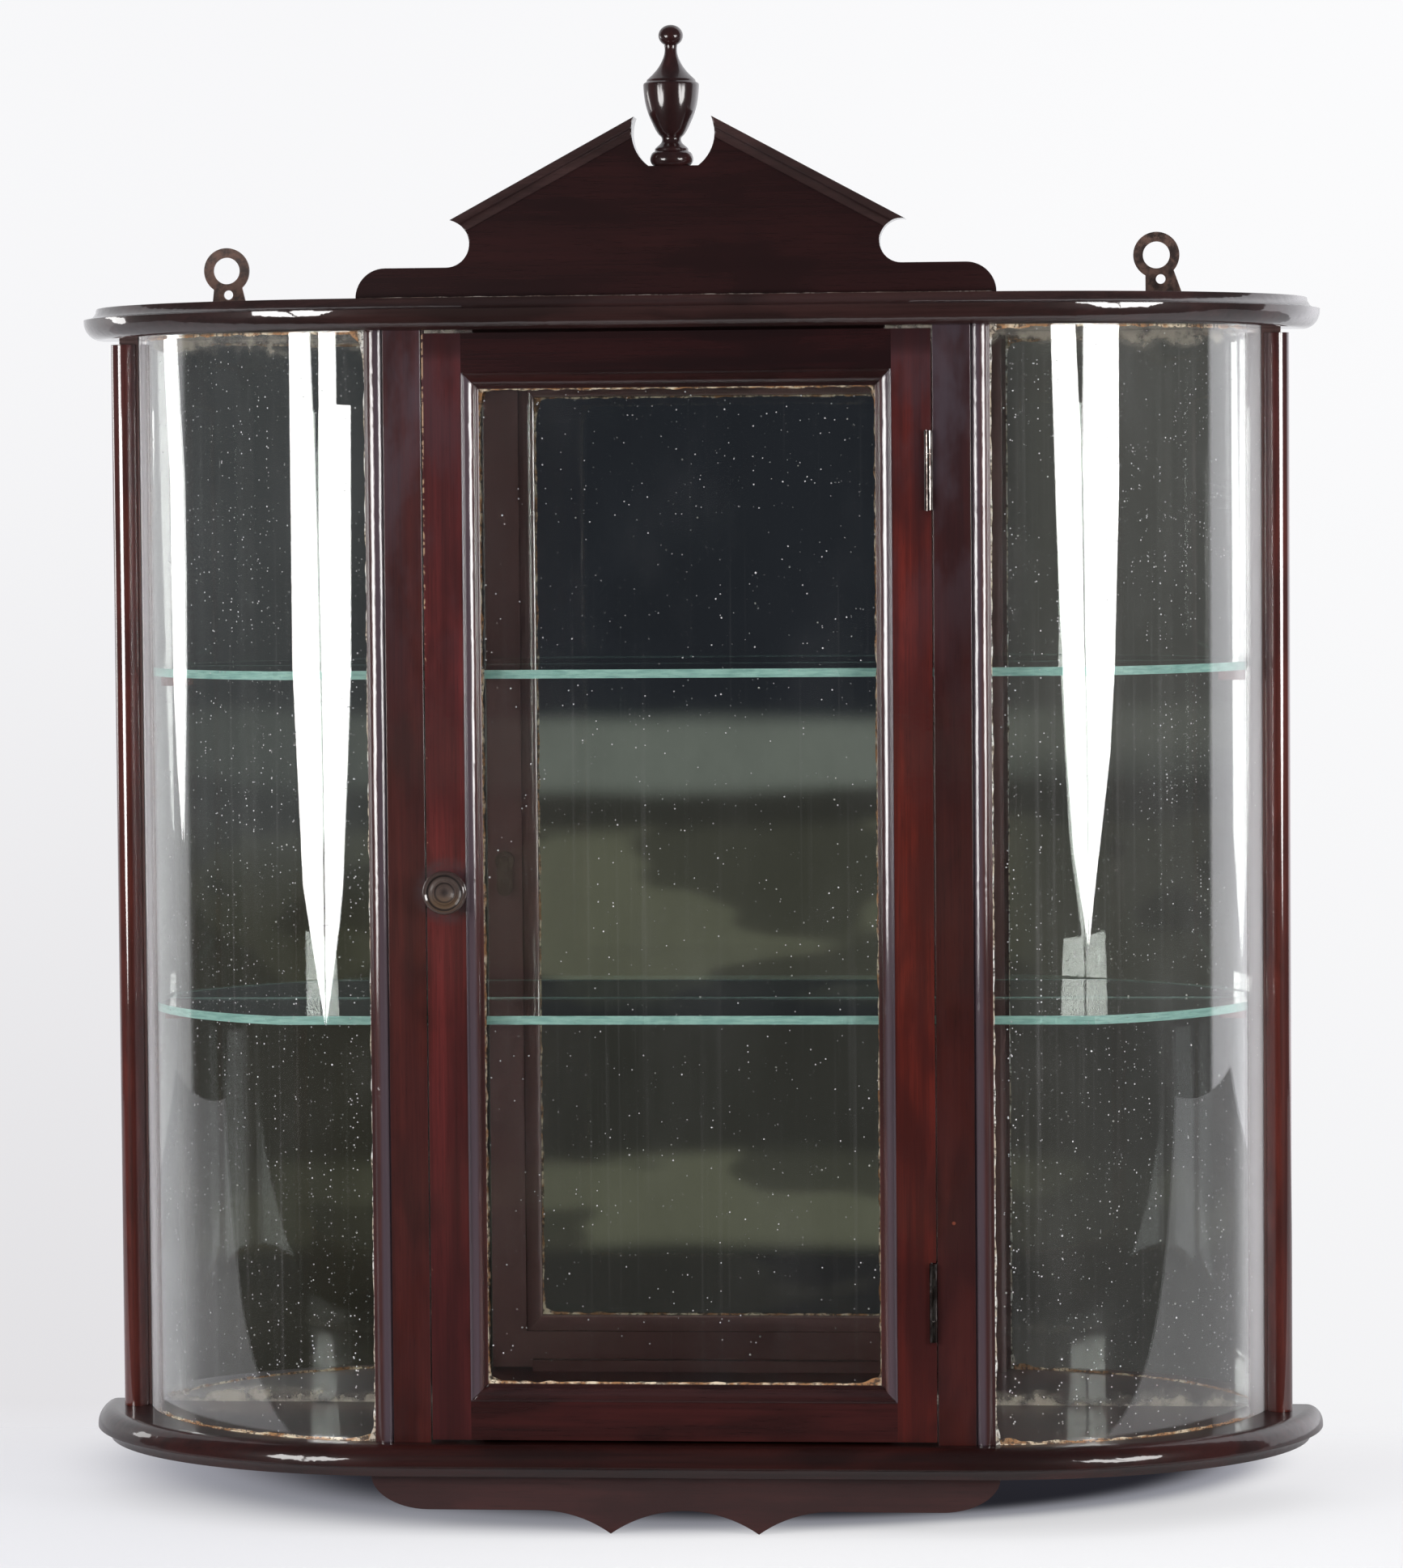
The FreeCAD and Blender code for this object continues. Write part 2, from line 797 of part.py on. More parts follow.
def level_arc(level, end):
    """Arc that leaves a point horizontally and sags to another one in the same XZ plane."""
    across = end.x - level.x
    sag = level.z - end.z
    radius = (across ** 2 + sag ** 2) / (2 * sag)
    half_turn = math.asin(across / radius) / 2
    middle = V(level.x + radius * math.sin(half_turn), level.y,
               level.z - radius * (1 - math.cos(half_turn)))
    return Part.Arc(level, middle, end).toShape()


def apron():
    def at(x, drop):
        return V(x, face_y, -drop)

    edges = [line(at(-apron_half, 0), at(apron_half, 0))]
    for side in (-1, 1):
        level_x = side * (apron_half - apron_corner)
        flat = at(side * apron_flat_start, apron_drop)
        tip = at(side * apron_tip_x, apron_tip_drop)
        edges.append(bow(at(level_x, 0), V(side * apron_corner, 0, 0), V(0, 0, -apron_drop), 0, 90))
        edges.append(line(at(level_x, apron_drop), flat))
        edges.append(level_arc(flat, tip))
        edges.append(level_arc(at(0, apron_drop), tip))
    return outline_face(edges).extrude(V(0, apron_thickness, 0))


# Hinges

def knuckle_levels(z):
    """Bottom and top of the lower, middle and upper knuckle of a hinge."""
    bottom = z - hinge_length / 2
    low = bottom + hinge_length * low_knuckle_share
    high = bottom + hinge_length * (1 - high_knuckle_share)
    half = leaf_gap / 2
    return [
        (bottom, low - half),
        (low + half, high - half),
        (high + half, bottom + hinge_length),
    ]


def knuckle(levels, radius, grow=0):
    bottom, top = levels
    return rod(radius, V(pin_x, pin_y, bottom - grow), V(0, 0, top - bottom + 2 * grow))


def pin_bore(z):
    bottom = z - hinge_length / 2 - overrun
    return rod(pin_radius + running_gap, V(pin_x, pin_y, bottom),
               V(0, 0, hinge_length + 2 * overrun))


def leaf_plate(x, z):
    return box(x, x + leaf_thickness, pin_y, face_y + leaf_reach,
               z - hinge_length / 2, z + hinge_length / 2)


def post_leaf(z):
    """Leaf on the post, with the two outer knuckles."""
    low, middle, high = knuckle_levels(z)
    room = knuckle(middle, knuckle_radius + leaf_gap, leaf_gap)
    plate = leaf_plate(post_leaf_x, z).cut(room)
    leaf = fused([plate, knuckle(low, knuckle_radius), knuckle(high, knuckle_radius)])
    return holes(leaf, [pin_bore(z)] + hinge_screws(z, 1, screw_gap))


def door_leaf(z):
    """Leaf on the door, with the middle knuckle."""
    low, middle, high = knuckle_levels(z)
    plate = leaf_plate(door_leaf_x, z)
    for levels in (low, high):
        plate = plate.cut(knuckle(levels, knuckle_radius + leaf_gap, leaf_gap))
    leaf = fused([plate, knuckle(middle, knuckle_radius)])
    return holes(leaf, [pin_bore(z)] + hinge_screws(z, -1, screw_gap))


def hinge_pin(z):
    return rod(pin_radius, V(pin_x, pin_y, z - hinge_length / 2), V(0, 0, hinge_length))


def hinge_mortise(z):
    """Room for a whole hinge in the edge of the door."""
    low = z - hinge_length / 2 - leaf_gap
    high = z + hinge_length / 2 + leaf_gap
    slot = box(door_leaf_x, door_half + overrun, face_y - overrun,
               face_y + leaf_reach + leaf_gap, low, high)
    barrel = rod(knuckle_radius + leaf_gap, V(pin_x, pin_y, low), V(0, 0, high - low))
    return fused([slot, barrel])


# Door frame

door_bottom = base_top + door_gap
door_top = top_under - door_gap


def rail_tenons(grow=0):
    """Tenons at both ends of both rails."""
    middle_y = face_y + door_thickness / 2
    half = tenon_thickness / 2 + grow
    tenons = []
    for z in (door_bottom + rail_width / 2, door_top - rail_width / 2):
        for side in (-1, 1):
            inner = opening_half_width * side
            outer = (opening_half_width + tenon_length + grow) * side
            tenons.append(box(min(inner, outer), max(inner, outer), middle_y - half, middle_y + half,
                              z - tenon_width / 2 - grow, z + tenon_width / 2 + grow))
    return tenons


def right_stile():
    stile = box(opening_half_width, door_half, face_y, door_back_y, door_bottom, door_top)
    cuts = rail_tenons(joint_gap)
    for z in hinge_levels.values():
        cuts.append(hinge_mortise(z))
        cuts += hinge_screws(z, -1, screw_gap)
    return holes(stile, cuts)


def left_stile():
    """Closing stile, with its edge bevelled so that it clears the post as it swings."""
    stile = polygon_face([
        V(-opening_half_width, face_y, door_bottom),
        V(-door_half, face_y, door_bottom),
        V(-door_half + closing_bevel, door_back_y, door_bottom),
        V(-opening_half_width, door_back_y, door_bottom),
    ]).extrude(V(0, 0, door_top - door_bottom))
    return holes(stile, rail_tenons(joint_gap) + [spindle_rod(running_gap)])


def rail(z0, tenons):
    bar = box(-opening_half_width, opening_half_width, face_y, door_back_y, z0, z0 + rail_width)
    return fused([bar] + tenons)


def door_glass():
    half_width = opening_half_width - loose_gap
    half_height = opening_half_height - loose_gap
    y = face_y + moulding_depth
    return box(-half_width, half_width, y, y + door_glass_thickness,
               opening_z - half_height, opening_z + half_height)


def moulding_section():
    """Front moulding, as (distance inwards, depth behind the face) corners and one curve."""
    lip = moulding_lip_depth
    curve_end = moulding_edge + moulding_curve_width
    curve_bottom = moulding_quirk + moulding_curve_depth
    corners = [
        (curve_end, curve_bottom),
        (curve_end, lip),
        (moulding_width, lip),
        (moulding_width, moulding_depth),
        (0, moulding_depth),
        (0, -moulding_rise),
        (moulding_edge, -moulding_rise),
        (moulding_edge, moulding_quirk),
    ]
    return corners, (moulding_edge, curve_bottom), moulding_curve_width, moulding_curve_depth


def glazing_section():
    """Bead behind the glass, rounded off towards the opening."""
    front = moulding_depth + door_glass_thickness
    back = front + glazing_depth
    curve_depth = glazing_depth - glazing_lip
    corners = [
        (glazing_flat, back),
        (0, back),
        (0, front),
        (glazing_width, front),
        (glazing_width, front + glazing_lip),
    ]
    centre = (glazing_flat, front + glazing_lip)
    return corners, centre, glazing_width - glazing_flat, -curve_depth


def mitred_strips(section, width):
    """Four strips of one section round the glass, mitred at the corners, keyed by side."""
    corners, centre, curve_width, curve_depth = section
    strips = {}
    runs = [
        ("bottom", opening_half_width, opening_half_height),
        ("left", opening_half_height, opening_half_width),
        ("top", opening_half_width, opening_half_height),
        ("right", opening_half_height, opening_half_width),
    ]
    for quarter_turn, (side, half_run, half_cross) in enumerate(runs):
        def at(point):
            return V(-half_run, face_y + point[1], opening_z - half_cross + point[0])

        edges = [line(at(a), at(b)) for a, b in zip(corners, corners[1:])]
        edges.append(bow(at(centre), V(0, 0, curve_width), V(0, -curve_depth, 0), 0, 90))
        strip = outline_face(edges).extrude(V(2 * half_run, 0, 0))
        y = face_y - overrun
        outer_z = opening_z - half_cross
        wedge = polygon_face([
            V(-half_run, y, outer_z),
            V(half_run, y, outer_z),
            V(half_run - width, y, outer_z + width),
            V(width - half_run, y, outer_z + width),
        ]).extrude(V(0, door_thickness + 2 * overrun, 0))
        strip = strip.common(wedge)
        strip.rotate(V(0, 0, opening_z), V(0, 1, 0), 90 * quarter_turn)
        strips[side] = strip
    return strips


# Knob and catch

def spindle_rod(grow=0):
    """Spindle from inside the knob to the back of the catch."""
    start = V(knob_x, face_y - knob_start - spindle_bore, knob_z)
    catch_back = post_back_y + keeper_thickness + loose_gap + catch_thickness
    return rod(spindle_radius + grow, start, V(0, catch_back - start.y, 0))


# Turned outline of the knob, as shares of its radius and of its length from the door outwards
knob_stem_shares = [(0.48, 0.0), (0.48, 0.06), (0.40, 0.14), (0.38, 0.30), (0.46, 0.46)]
knob_swell_shares = [(0.62, 0.56), (0.84, 0.64), (0.97, 0.74), (1.0, 0.84), (0.96, 0.94), (0.88, 1.0)]
knob_face_shares = [
    (0.80, 0.965), (0.76, 0.90), (0.66, 0.875), (0.56, 0.89), (0.53, 0.93),
    (0.49, 0.93), (0.45, 0.87), (0.28, 0.82), (0.14, 0.80), (0.0, 0.79),
]


def knob():
    def at(share):
        return V(knob_x + knob_radius * share[0], face_y - knob_start - knob_length * share[1], knob_z)

    axis_start = V(knob_x, face_y - knob_start, knob_z)
    stem = [at(share) for share in knob_stem_shares]
    swell = [at(share) for share in knob_swell_shares]
    face = [at(share) for share in knob_face_shares]
    edges = [line(axis_start, stem[0]), line(stem[0], stem[1]), smooth_run(stem[1:] + swell)]
    edges += [line(a, b) for a, b in zip([swell[-1]] + face, face)]
    edges.append(line(face[-1], axis_start))
    shape = outline_face(edges).revolve(axis_start, V(0, 1, 0), 360)
    return shape.cut(spindle_rod(screw_gap))


def turn_catch():
    """Tongue that hangs from the spindle, and turns up behind the keeper on the post."""
    arm_y = post_back_y + keeper_thickness + loose_gap
    through = V(0, catch_thickness, 0)
    centre = V(knob_x, arm_y, knob_z)
    half = catch_width / 2
    tip = centre - V(0, 0, catch_reach - half)
    arm = box(knob_x - half, knob_x + half, arm_y, arm_y + catch_thickness, tip.z, knob_z)
    boss_y = door_back_y + loose_gap
    boss = rod(catch_boss_radius, V(knob_x, boss_y, knob_z), V(0, arm_y + catch_thickness - boss_y, 0))
    return fused([arm, rod(half, tip, through), boss]).cut(spindle_rod(screw_gap))


def keeper_plate():
    x = -post_x - keeper_inset
    plate = box(x - keeper_width, x, post_back_y, post_back_y + keeper_thickness,
                knob_z - keeper_height / 2, knob_z + keeper_height / 2)
    return holes(plate, keeper_screws(screw_gap))


# All pieces, by name

def carcase_nodes():
    post = front_post()
    right_post = post
    for z in hinge_levels.values():
        right_post = holes(right_post, hinge_screws(z, 1, screw_gap))
    core = back_post()
    pane = bent_pane()
    return {
        "top_board": top_board(),
        "base_board": base_board(),
        "left_front_post": holes(mirrored(post), keeper_screws(screw_gap)),
        "right_front_post": right_post,
        "left_post_bead": mirrored(post_bead()),
        "right_post_bead": post_bead(),
        "left_back_post": mirrored(core),
        "right_back_post": core,
        "left_half_round": mirrored(half_round()),
        "right_half_round": half_round(),
        "left_bent_glass": mirrored(pane),
        "right_bent_glass": pane,
        "back_mirror": back_mirror(),
        "back_panel": back_panel(),
        "lower_glass_shelf": shelf(lower_shelf_rise),
        "upper_glass_shelf": shelf(upper_shelf_rise),
        "back_shelf_rests": Part.makeCompound(back_shelf_rests()),
        "front_shelf_rests": Part.makeCompound(front_shelf_rests()),
        "top_door_stop": door_stop(top_under - stop_size),
        "bottom_door_stop": door_stop(base_top),
        "keeper_plate": keeper_plate(),
    }


def ornament_nodes():
    left_scoop = scoop(gable_half - left_scoop_inset, left_scoop_radius)
    right_scoop = scoop(gable_half - right_scoop_inset, right_scoop_radius)
    return {
        "pediment_board": pediment_board(),
        "left_raking_moulding": mirrored(raking_moulding(left_scoop)),
        "right_raking_moulding": raking_moulding(right_scoop),
        "finial": finial(),
        "apron": apron(),
        "pediment_glue_blocks": Part.makeCompound(
            glue_blocks(face_y + pediment_thickness, top_face)),
        "apron_glue_blocks": Part.makeCompound(
            glue_blocks(face_y + apron_thickness, -block_size)),
        "left_hanger": hanger(hanger_places["left"]),
        "right_hanger": hanger(hanger_places["right"]),
    }


def door_nodes():
    tenons = rail_tenons()
    nodes = {
        "door_left_stile": left_stile(),
        "door_right_stile": right_stile(),
        "door_bottom_rail": rail(door_bottom, tenons[:2]),
        "door_top_rail": rail(door_top - rail_width, tenons[2:]),
        "door_glass": door_glass(),
    }
    for side, strip in mitred_strips(moulding_section(), moulding_width).items():
        nodes["door_" + side + "_moulding"] = strip
    for side, strip in mitred_strips(glazing_section(), glazing_width).items():
        nodes["door_" + side + "_glazing_bead"] = strip
    for end, z in hinge_levels.items():
        nodes[end + "_hinge_post_leaf"] = post_leaf(z)
        nodes[end + "_hinge_door_leaf"] = door_leaf(z)
    nodes["knob"] = knob()
    nodes["knob_spindle"] = spindle_rod()
    nodes["turn_catch"] = turn_catch()
    return nodes


def fastener_nodes():
    levels = list(hinge_levels.values())
    hanger_set = []
    for place in hanger_places.values():
        hanger_set += hanger_screws(place)
    return {
        "hinge_pins": Part.makeCompound([hinge_pin(z) for z in levels]),
        "hinge_post_screws": Part.makeCompound([s for z in levels for s in hinge_screws(z, 1)]),
        "hinge_door_screws": Part.makeCompound([s for z in levels for s in hinge_screws(z, -1)]),
        "keeper_screws": Part.makeCompound(keeper_screws()),
        "hanger_screws": Part.makeCompound(hanger_set),
        "top_board_screws": Part.makeCompound(board_screws(top_under, 1)),
        "base_board_screws": Part.makeCompound(board_screws(base_top, -1)),
        "back_panel_pins": Part.makeCompound(panel_pins()),
    }


def main():
    os.makedirs("parts", exist_ok=True)
    nodes = {**carcase_nodes(), **ornament_nodes(), **door_nodes(), **fastener_nodes()}
    for name, shape in nodes.items():
        shape.exportStep("parts/" + name + ".step")
    print(len(nodes), "nodes")


main()
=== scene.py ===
import bmesh
import bpy
import math
from mathutils import Matrix, Vector
from mathutils import noise as mathutils_noise


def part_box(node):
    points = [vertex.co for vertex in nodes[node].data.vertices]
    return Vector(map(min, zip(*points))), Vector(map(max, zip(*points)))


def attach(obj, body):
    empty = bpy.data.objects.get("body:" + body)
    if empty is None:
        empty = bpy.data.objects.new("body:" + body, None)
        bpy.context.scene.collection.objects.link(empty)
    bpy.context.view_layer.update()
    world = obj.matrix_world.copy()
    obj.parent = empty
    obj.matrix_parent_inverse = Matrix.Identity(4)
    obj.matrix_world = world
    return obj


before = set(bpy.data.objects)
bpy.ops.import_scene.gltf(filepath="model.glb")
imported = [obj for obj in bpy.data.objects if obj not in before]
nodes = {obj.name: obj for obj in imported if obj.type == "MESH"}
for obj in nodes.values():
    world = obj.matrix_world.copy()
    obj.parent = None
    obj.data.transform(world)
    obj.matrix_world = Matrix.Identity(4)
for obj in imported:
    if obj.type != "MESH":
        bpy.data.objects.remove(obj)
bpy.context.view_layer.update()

# Camera, as fitted to the photograph
CAMERA_PLACE = Vector((0.2450, -2.8452, 0.4720))
CAMERA_YAW = -0.0860
CAMERA_PITCH = 0.0499
CAMERA_ROLL = 0.0083
FOCAL_PIXELS = 6991.5
PHOTO_HEIGHT = 1938
SENSOR = 36.0

# Stage: the paper floor, how far forward reflections show it, and where it fades for the camera
FLOOR_Z = -0.0286
FLOOR_FRONT = -2.2
MIRRORED_FRONT = -0.29
FLOOR_BACK = 1.0
FLOOR_HALF = 2.2
FRONT_FADE = (-1.6, -0.5)
BACK_FADE = (0.05, 0.30)
SIDE_FADE = (0.45, 0.85)

# The oval of soft shade under the cabinet, and how far from the middle its two sides blend
SHADE_HALF_WIDTH = 0.28
SHADE_HALF_DEPTH = 0.21
SHADE_CENTRE_Y = 0.10
SHADE_TURN = 0.15

# Lamps: distance from the cabinet, width, brightness, and how much brighter their reflections are
LAMP_DISTANCE = 1.3
LAMP_WIDTH = 0.60
LAMP_STRENGTH = 13.0
SIDE_LAMP_STRENGTH = 5.0
LAMP_SPARKLE = 1.8
LEFT_LAMP_BEARING = -36.0
RIGHT_LAMP_BEARING = 46.0
SIDE_LAMP_BEARING = -112.0

# Panels of cloth in each lamp: points as a share of its half width, and a height in metres
LEFT_LAMP_PANELS = [
    [(-1.0, 0.64), (-0.45, 0.64), (-0.24, 0.464), (-0.18, 0.30), (-0.16, 0.119), (-0.77, 0.214),
     (-1.0, 0.36)],
    [(-0.10, 0.64), (0.36, 0.64), (0.36, 0.54), (0.78, 0.54), (0.70, 0.36), (0.40, 0.214), (0.30, 0.19),
     (-0.12, 0.119), (-0.12, 0.30), (-0.17, 0.455)],
]
RIGHT_LAMP_PANELS = [
    [(-1.0, 0.64), (-0.35, 0.64), (-0.12, 0.514), (0.0, 0.30), (0.03, 0.172), (-0.36, 0.235),
     (-0.55, 0.301), (-0.80, 0.45)],
    [(0.0, 0.64), (1.0, 0.64), (0.98, 0.48), (0.83, 0.36), (0.68, 0.301), (0.30, 0.225), (0.05, 0.172),
     (0.04, 0.30), (-0.06, 0.50)],
]
SIDE_LAMP_PANELS = [
    [(-0.10, 0.64), (0.45, 0.64), (0.94, 0.49), (0.97, 0.43), (0.93, 0.35), (0.80, 0.29), (0.67, 0.24),
     (0.46, 0.29), (0.29, 0.35), (0.24, 0.43), (0.25, 0.49), (-0.03, 0.58)],
]

# The bent panes, as they stand in the CAD, and the angle at which they leave the posts
BEND_CENTRE_X = 0.1411
BEND_CENTRE_Y = 0.0145
PANE_OUTSIDE = 0.1440
PANE_INSIDE = 0.1415
FIRST_ANGLE = 4.5

# Width of the mouldings round the door glass
MOULDING_WIDTH = 0.0080


# Node trees

def add_node(tree, kind, settings=None, at=None, **sockets):
    """Add a node. Settings are its attributes, and sockets get a value or a link, by name or place."""
    made = tree.nodes.new(kind)
    for key, value in (settings or {}).items():
        setattr(made, key, value)
    wanted = {made.inputs[key.replace("_", " ")]: value for key, value in sockets.items()}
    wanted.update({made.inputs[place]: value for place, value in (at or {}).items()})
    for socket, value in wanted.items():
        if isinstance(value, bpy.types.NodeSocket):
            tree.links.new(value, socket)
        else:
            socket.default_value = value
    return made


def grey(value):
    return (value, value, value, 1.0)


def rgb(red, green, blue):
    return (red, green, blue, 1.0)


def math_node(tree, operation, first, second=0.0, clamp=False):
    made = add_node(tree, "ShaderNodeMath", {"operation": operation, "use_clamp": clamp},
                    at={0: first, 1: second})
    return made.outputs[0]


def ramp(tree, value, low, high, from_low=0.0, from_high=1.0):
    """Map a value smoothly from one range to another, held at both ends."""
    made = add_node(tree, "ShaderNodeMapRange", {"interpolation_type": "SMOOTHSTEP"},
                    Value=value, From_Min=from_low, From_Max=from_high, To_Min=low, To_Max=high)
    return made.outputs["Result"]


def mix_colour(tree, factor, first, second, blend="MIX"):
    made = add_node(tree, "ShaderNodeMix", {"data_type": "RGBA", "blend_type": blend},
                    at={0: factor, 6: first, 7: second})
    return made.outputs[2]


def object_place(tree):
    return add_node(tree, "ShaderNodeTexCoord").outputs["Object"]


def stretched(tree, place, scale):
    """The place, scaled along each axis in cycles to the metre."""
    return add_node(tree, "ShaderNodeMapping", Vector=place, Scale=scale).outputs[0]


def noise(tree, place, scale, detail=4.0, roughness=0.55, distortion=0.0):
    made = add_node(tree, "ShaderNodeTexNoise", Vector=stretched(tree, place, scale), Scale=1.0,
                    Detail=detail, Roughness=roughness, Distortion=distortion)
    return made.outputs["Fac"]


def specks(tree, place, scale, size, share):
    """Small round marks: 1 inside a mark, 0 elsewhere. Share is the part of the cells that have one."""
    cells = add_node(tree, "ShaderNodeTexVoronoi", Vector=place, Scale=scale)
    near = ramp(tree, cells.outputs["Distance"], 1.0, 0.0, size * 0.6, size)
    chosen = math_node(tree, "GREATER_THAN", cells.outputs["Color"], 1.0 - share)
    return math_node(tree, "MULTIPLY", near, chosen)


def new_material(name):
    material = bpy.data.materials.new(name)
    material.use_nodes = True
    tree = material.node_tree
    tree.nodes.clear()
    output = add_node(tree, "ShaderNodeOutputMaterial")
    return material, tree, output


def show(tree, output, shader):
    tree.links.new(shader, output.inputs["Surface"])


# Wood

ALONG_X = 0
ALONG_Y = 1
ALONG_Z = 2

# Heights between which the painted sheen on the polish grows to its full strength
PAINTED_SHEEN_FROM = 0.34
PAINTED_SHEEN_TO = 0.56


def along_scale(axis, across, along):
    scale = [across, across, across]
    scale[axis] = along
    return scale


def rounded_normal(tree, radius):
    """The normal as if sharp arrises had been eased by sanding and use."""
    return add_node(tree, "ShaderNodeBevel", {"samples": 4}, Radius=radius).outputs[0]


def wood_colour(tree, place, axis, dark, light):
    """Dark bands and lighter ribbons along the grain, clouded, with fine dark pores."""
    broad = noise(tree, place, along_scale(axis, 30.0, 2.0), 3.0, 0.5, 0.6)
    ribbon = noise(tree, place, along_scale(axis, 170.0, 5.0), 4.0, 0.6, 0.2)
    fine = noise(tree, place, along_scale(axis, 900.0, 16.0), 3.0, 0.6)
    figure = math_node(tree, "ADD", math_node(tree, "MULTIPLY", broad, 0.5),
                       math_node(tree, "ADD", math_node(tree, "MULTIPLY", ribbon, 0.3),
                                 math_node(tree, "MULTIPLY", fine, 0.2)))
    colour = mix_colour(tree, ramp(tree, figure, 0.0, 1.0, 0.35, 0.65), dark, light)
    cloud = noise(tree, place, along_scale(axis, 38.0, 13.0), 3.0, 0.55, 0.3)
    colour = mix_colour(tree, ramp(tree, cloud, 0.0, 0.70, 0.45, 0.62), colour, dark)
    pores = noise(tree, place, along_scale(axis, 2600.0, 90.0), 2.0, 0.5)
    pore_mask = ramp(tree, pores, 0.0, 0.35, 0.60, 0.70)
    return mix_colour(tree, pore_mask, colour, rgb(dark[0] * 0.35, dark[1] * 0.35, dark[2] * 0.35))


def with_painted_sheen(tree, place, colour, painted_sheen):
    """Painted sheen: a grey veil of reflected light mixed into the colour, patchy, and more of it high
    on the cabinet.
    """
    parts = add_node(tree, "ShaderNodeSeparateXYZ", Vector=place)
    high = ramp(tree, parts.outputs["Z"], 0.09, 1.0, PAINTED_SHEEN_FROM, PAINTED_SHEEN_TO)
    patches = noise(tree, place, (34.0, 34.0, 15.0), 4.0, 0.6)
    sheen_mask = math_node(tree, "MULTIPLY", high, ramp(tree, patches, 0.25, 1.0, 0.38, 0.60))
    return mix_colour(tree, math_node(tree, "MULTIPLY", sheen_mask, painted_sheen), colour, rgb(0.088, 0.078, 0.100))


def polished(tree, output, place, axis, colour, polish, softness, eased):
    """French polish: a clear coat, slightly rippled, over wood that is nearly matt."""
    ripple = noise(tree, place, along_scale(axis, 60.0, 16.0), 2.0, 0.5)
    peel = noise(tree, place, (500.0, 500.0, 500.0), 2.0, 0.5)
    height = math_node(tree, "ADD", ripple, math_node(tree, "MULTIPLY", peel, 0.07))
    bump = add_node(tree, "ShaderNodeBump", Strength=0.5, Distance=0.00022, Height=height)
    if eased:
        tree.links.new(rounded_normal(tree, eased), bump.inputs["Normal"])
    shader = add_node(tree, "ShaderNodeBsdfPrincipled", Base_Color=colour, Roughness=0.42,
                      Specular_IOR_Level=0.12, Normal=bump.outputs[0], Coat_Weight=polish,
                      Coat_IOR=1.6, Coat_Roughness=softness, Coat_Normal=bump.outputs[0])
    show(tree, output, shader.outputs[0])


def painted_light_on_back_faces(tree, colour):
    """Painted light: faces turned to the wall are made paler, as if lit."""
    normal = add_node(tree, "ShaderNodeNewGeometry").outputs["Normal"]
    inward = add_node(tree, "ShaderNodeSeparateXYZ", Vector=normal).outputs["Y"]
    return mix_colour(tree, ramp(tree, inward, 0.0, 1.0, 0.4, 0.8), colour, rgb(0.098, 0.047, 0.045))


def mahogany(name, axis, dark, light, painted_sheen=0.0, marks=None, polish=1.0, softness=0.03, eased=0.0005):
    """French-polished mahogany with its grain along one axis.

    Marks is a function that adds its wear, with painted shade on the stiles and painted sheen on the
    uprights, and eased is how far its arrises look rounded.
    """
    material, tree, output = new_material(name)
    place = object_place(tree)
    colour = wood_colour(tree, place, axis, dark, light)
    # Painted sheen: a grey veil of reflected light, stronger high up
    if painted_sheen:
        colour = with_painted_sheen(tree, place, colour, painted_sheen)
    if marks:
        colour = marks(tree, place, colour)
    # Faces turned to the wall get painted light
    polished(tree, output, place, axis, painted_light_on_back_faces(tree, colour), polish, softness, eased)
    return material


def closing_edge_wear(tree, place, colour):
    """Polish chipped off in dots down the door's closing edge, most of it near the top."""
    low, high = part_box("door_left_stile")
    parts = add_node(tree, "ShaderNodeSeparateXYZ", Vector=place)
    inward = math_node(tree, "SUBTRACT", parts.outputs["X"], low.x)
    near = ramp(tree, inward, 1.0, 0.0, 0.0004, 0.0010)
    chips = noise(tree, place, (300.0, 300.0, 420.0), 3.0, 0.6)
    height = ramp(tree, parts.outputs["Z"], -0.10, 0.12, 0.30, 0.54)
    chipped = ramp(tree, math_node(tree, "ADD", chips, height), 0.0, 1.0, 0.56, 0.62)
    return mix_colour(tree, math_node(tree, "MULTIPLY", near, chipped), colour, rgb(0.40, 0.26, 0.17))


def small_nicks(tree, place, colour):
    """A few pale nicks and one or two reddish ones."""
    pale = specks(tree, place, scale=55.0, size=0.035, share=0.10)
    red = specks(tree, place, scale=38.0, size=0.045, share=0.10)
    colour = mix_colour(tree, math_node(tree, "MULTIPLY", red, 0.7), colour, rgb(0.22, 0.055, 0.03))
    return mix_colour(tree, math_node(tree, "MULTIPLY", pale, 0.8), colour, rgb(0.45, 0.36, 0.30))


def away_from_knob(tree, place):
    """Distance from the knob's axis, and height above it."""
    low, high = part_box("knob")
    middle = (low + high) / 2
    parts = add_node(tree, "ShaderNodeSeparateXYZ", Vector=place)
    across = math_node(tree, "SUBTRACT", parts.outputs["X"], middle.x)
    up = math_node(tree, "SUBTRACT", parts.outputs["Z"], middle.z)
    square = math_node(tree, "ADD", math_node(tree, "MULTIPLY", across, across),
                       math_node(tree, "MULTIPLY", up, up))
    return math_node(tree, "SQRT", square), up


def finger_grime(tree, place, colour):
    """Grey-brown grime where fingers reach round the knob."""
    out, _ = away_from_knob(tree, place)
    smears = noise(tree, place, (160.0, 160.0, 160.0), 3.0, 0.6)
    near = ramp(tree, out, 0.8, 0.0, 0.0110, 0.0185)
    grime = math_node(tree, "MULTIPLY", near, ramp(tree, smears, 0.5, 1.0, 0.40, 0.60))
    return mix_colour(tree, grime, colour, rgb(0.046, 0.030, 0.034))


def closing_post_marks(tree, place, colour):
    return finger_grime(tree, place, small_nicks(tree, place, colour))


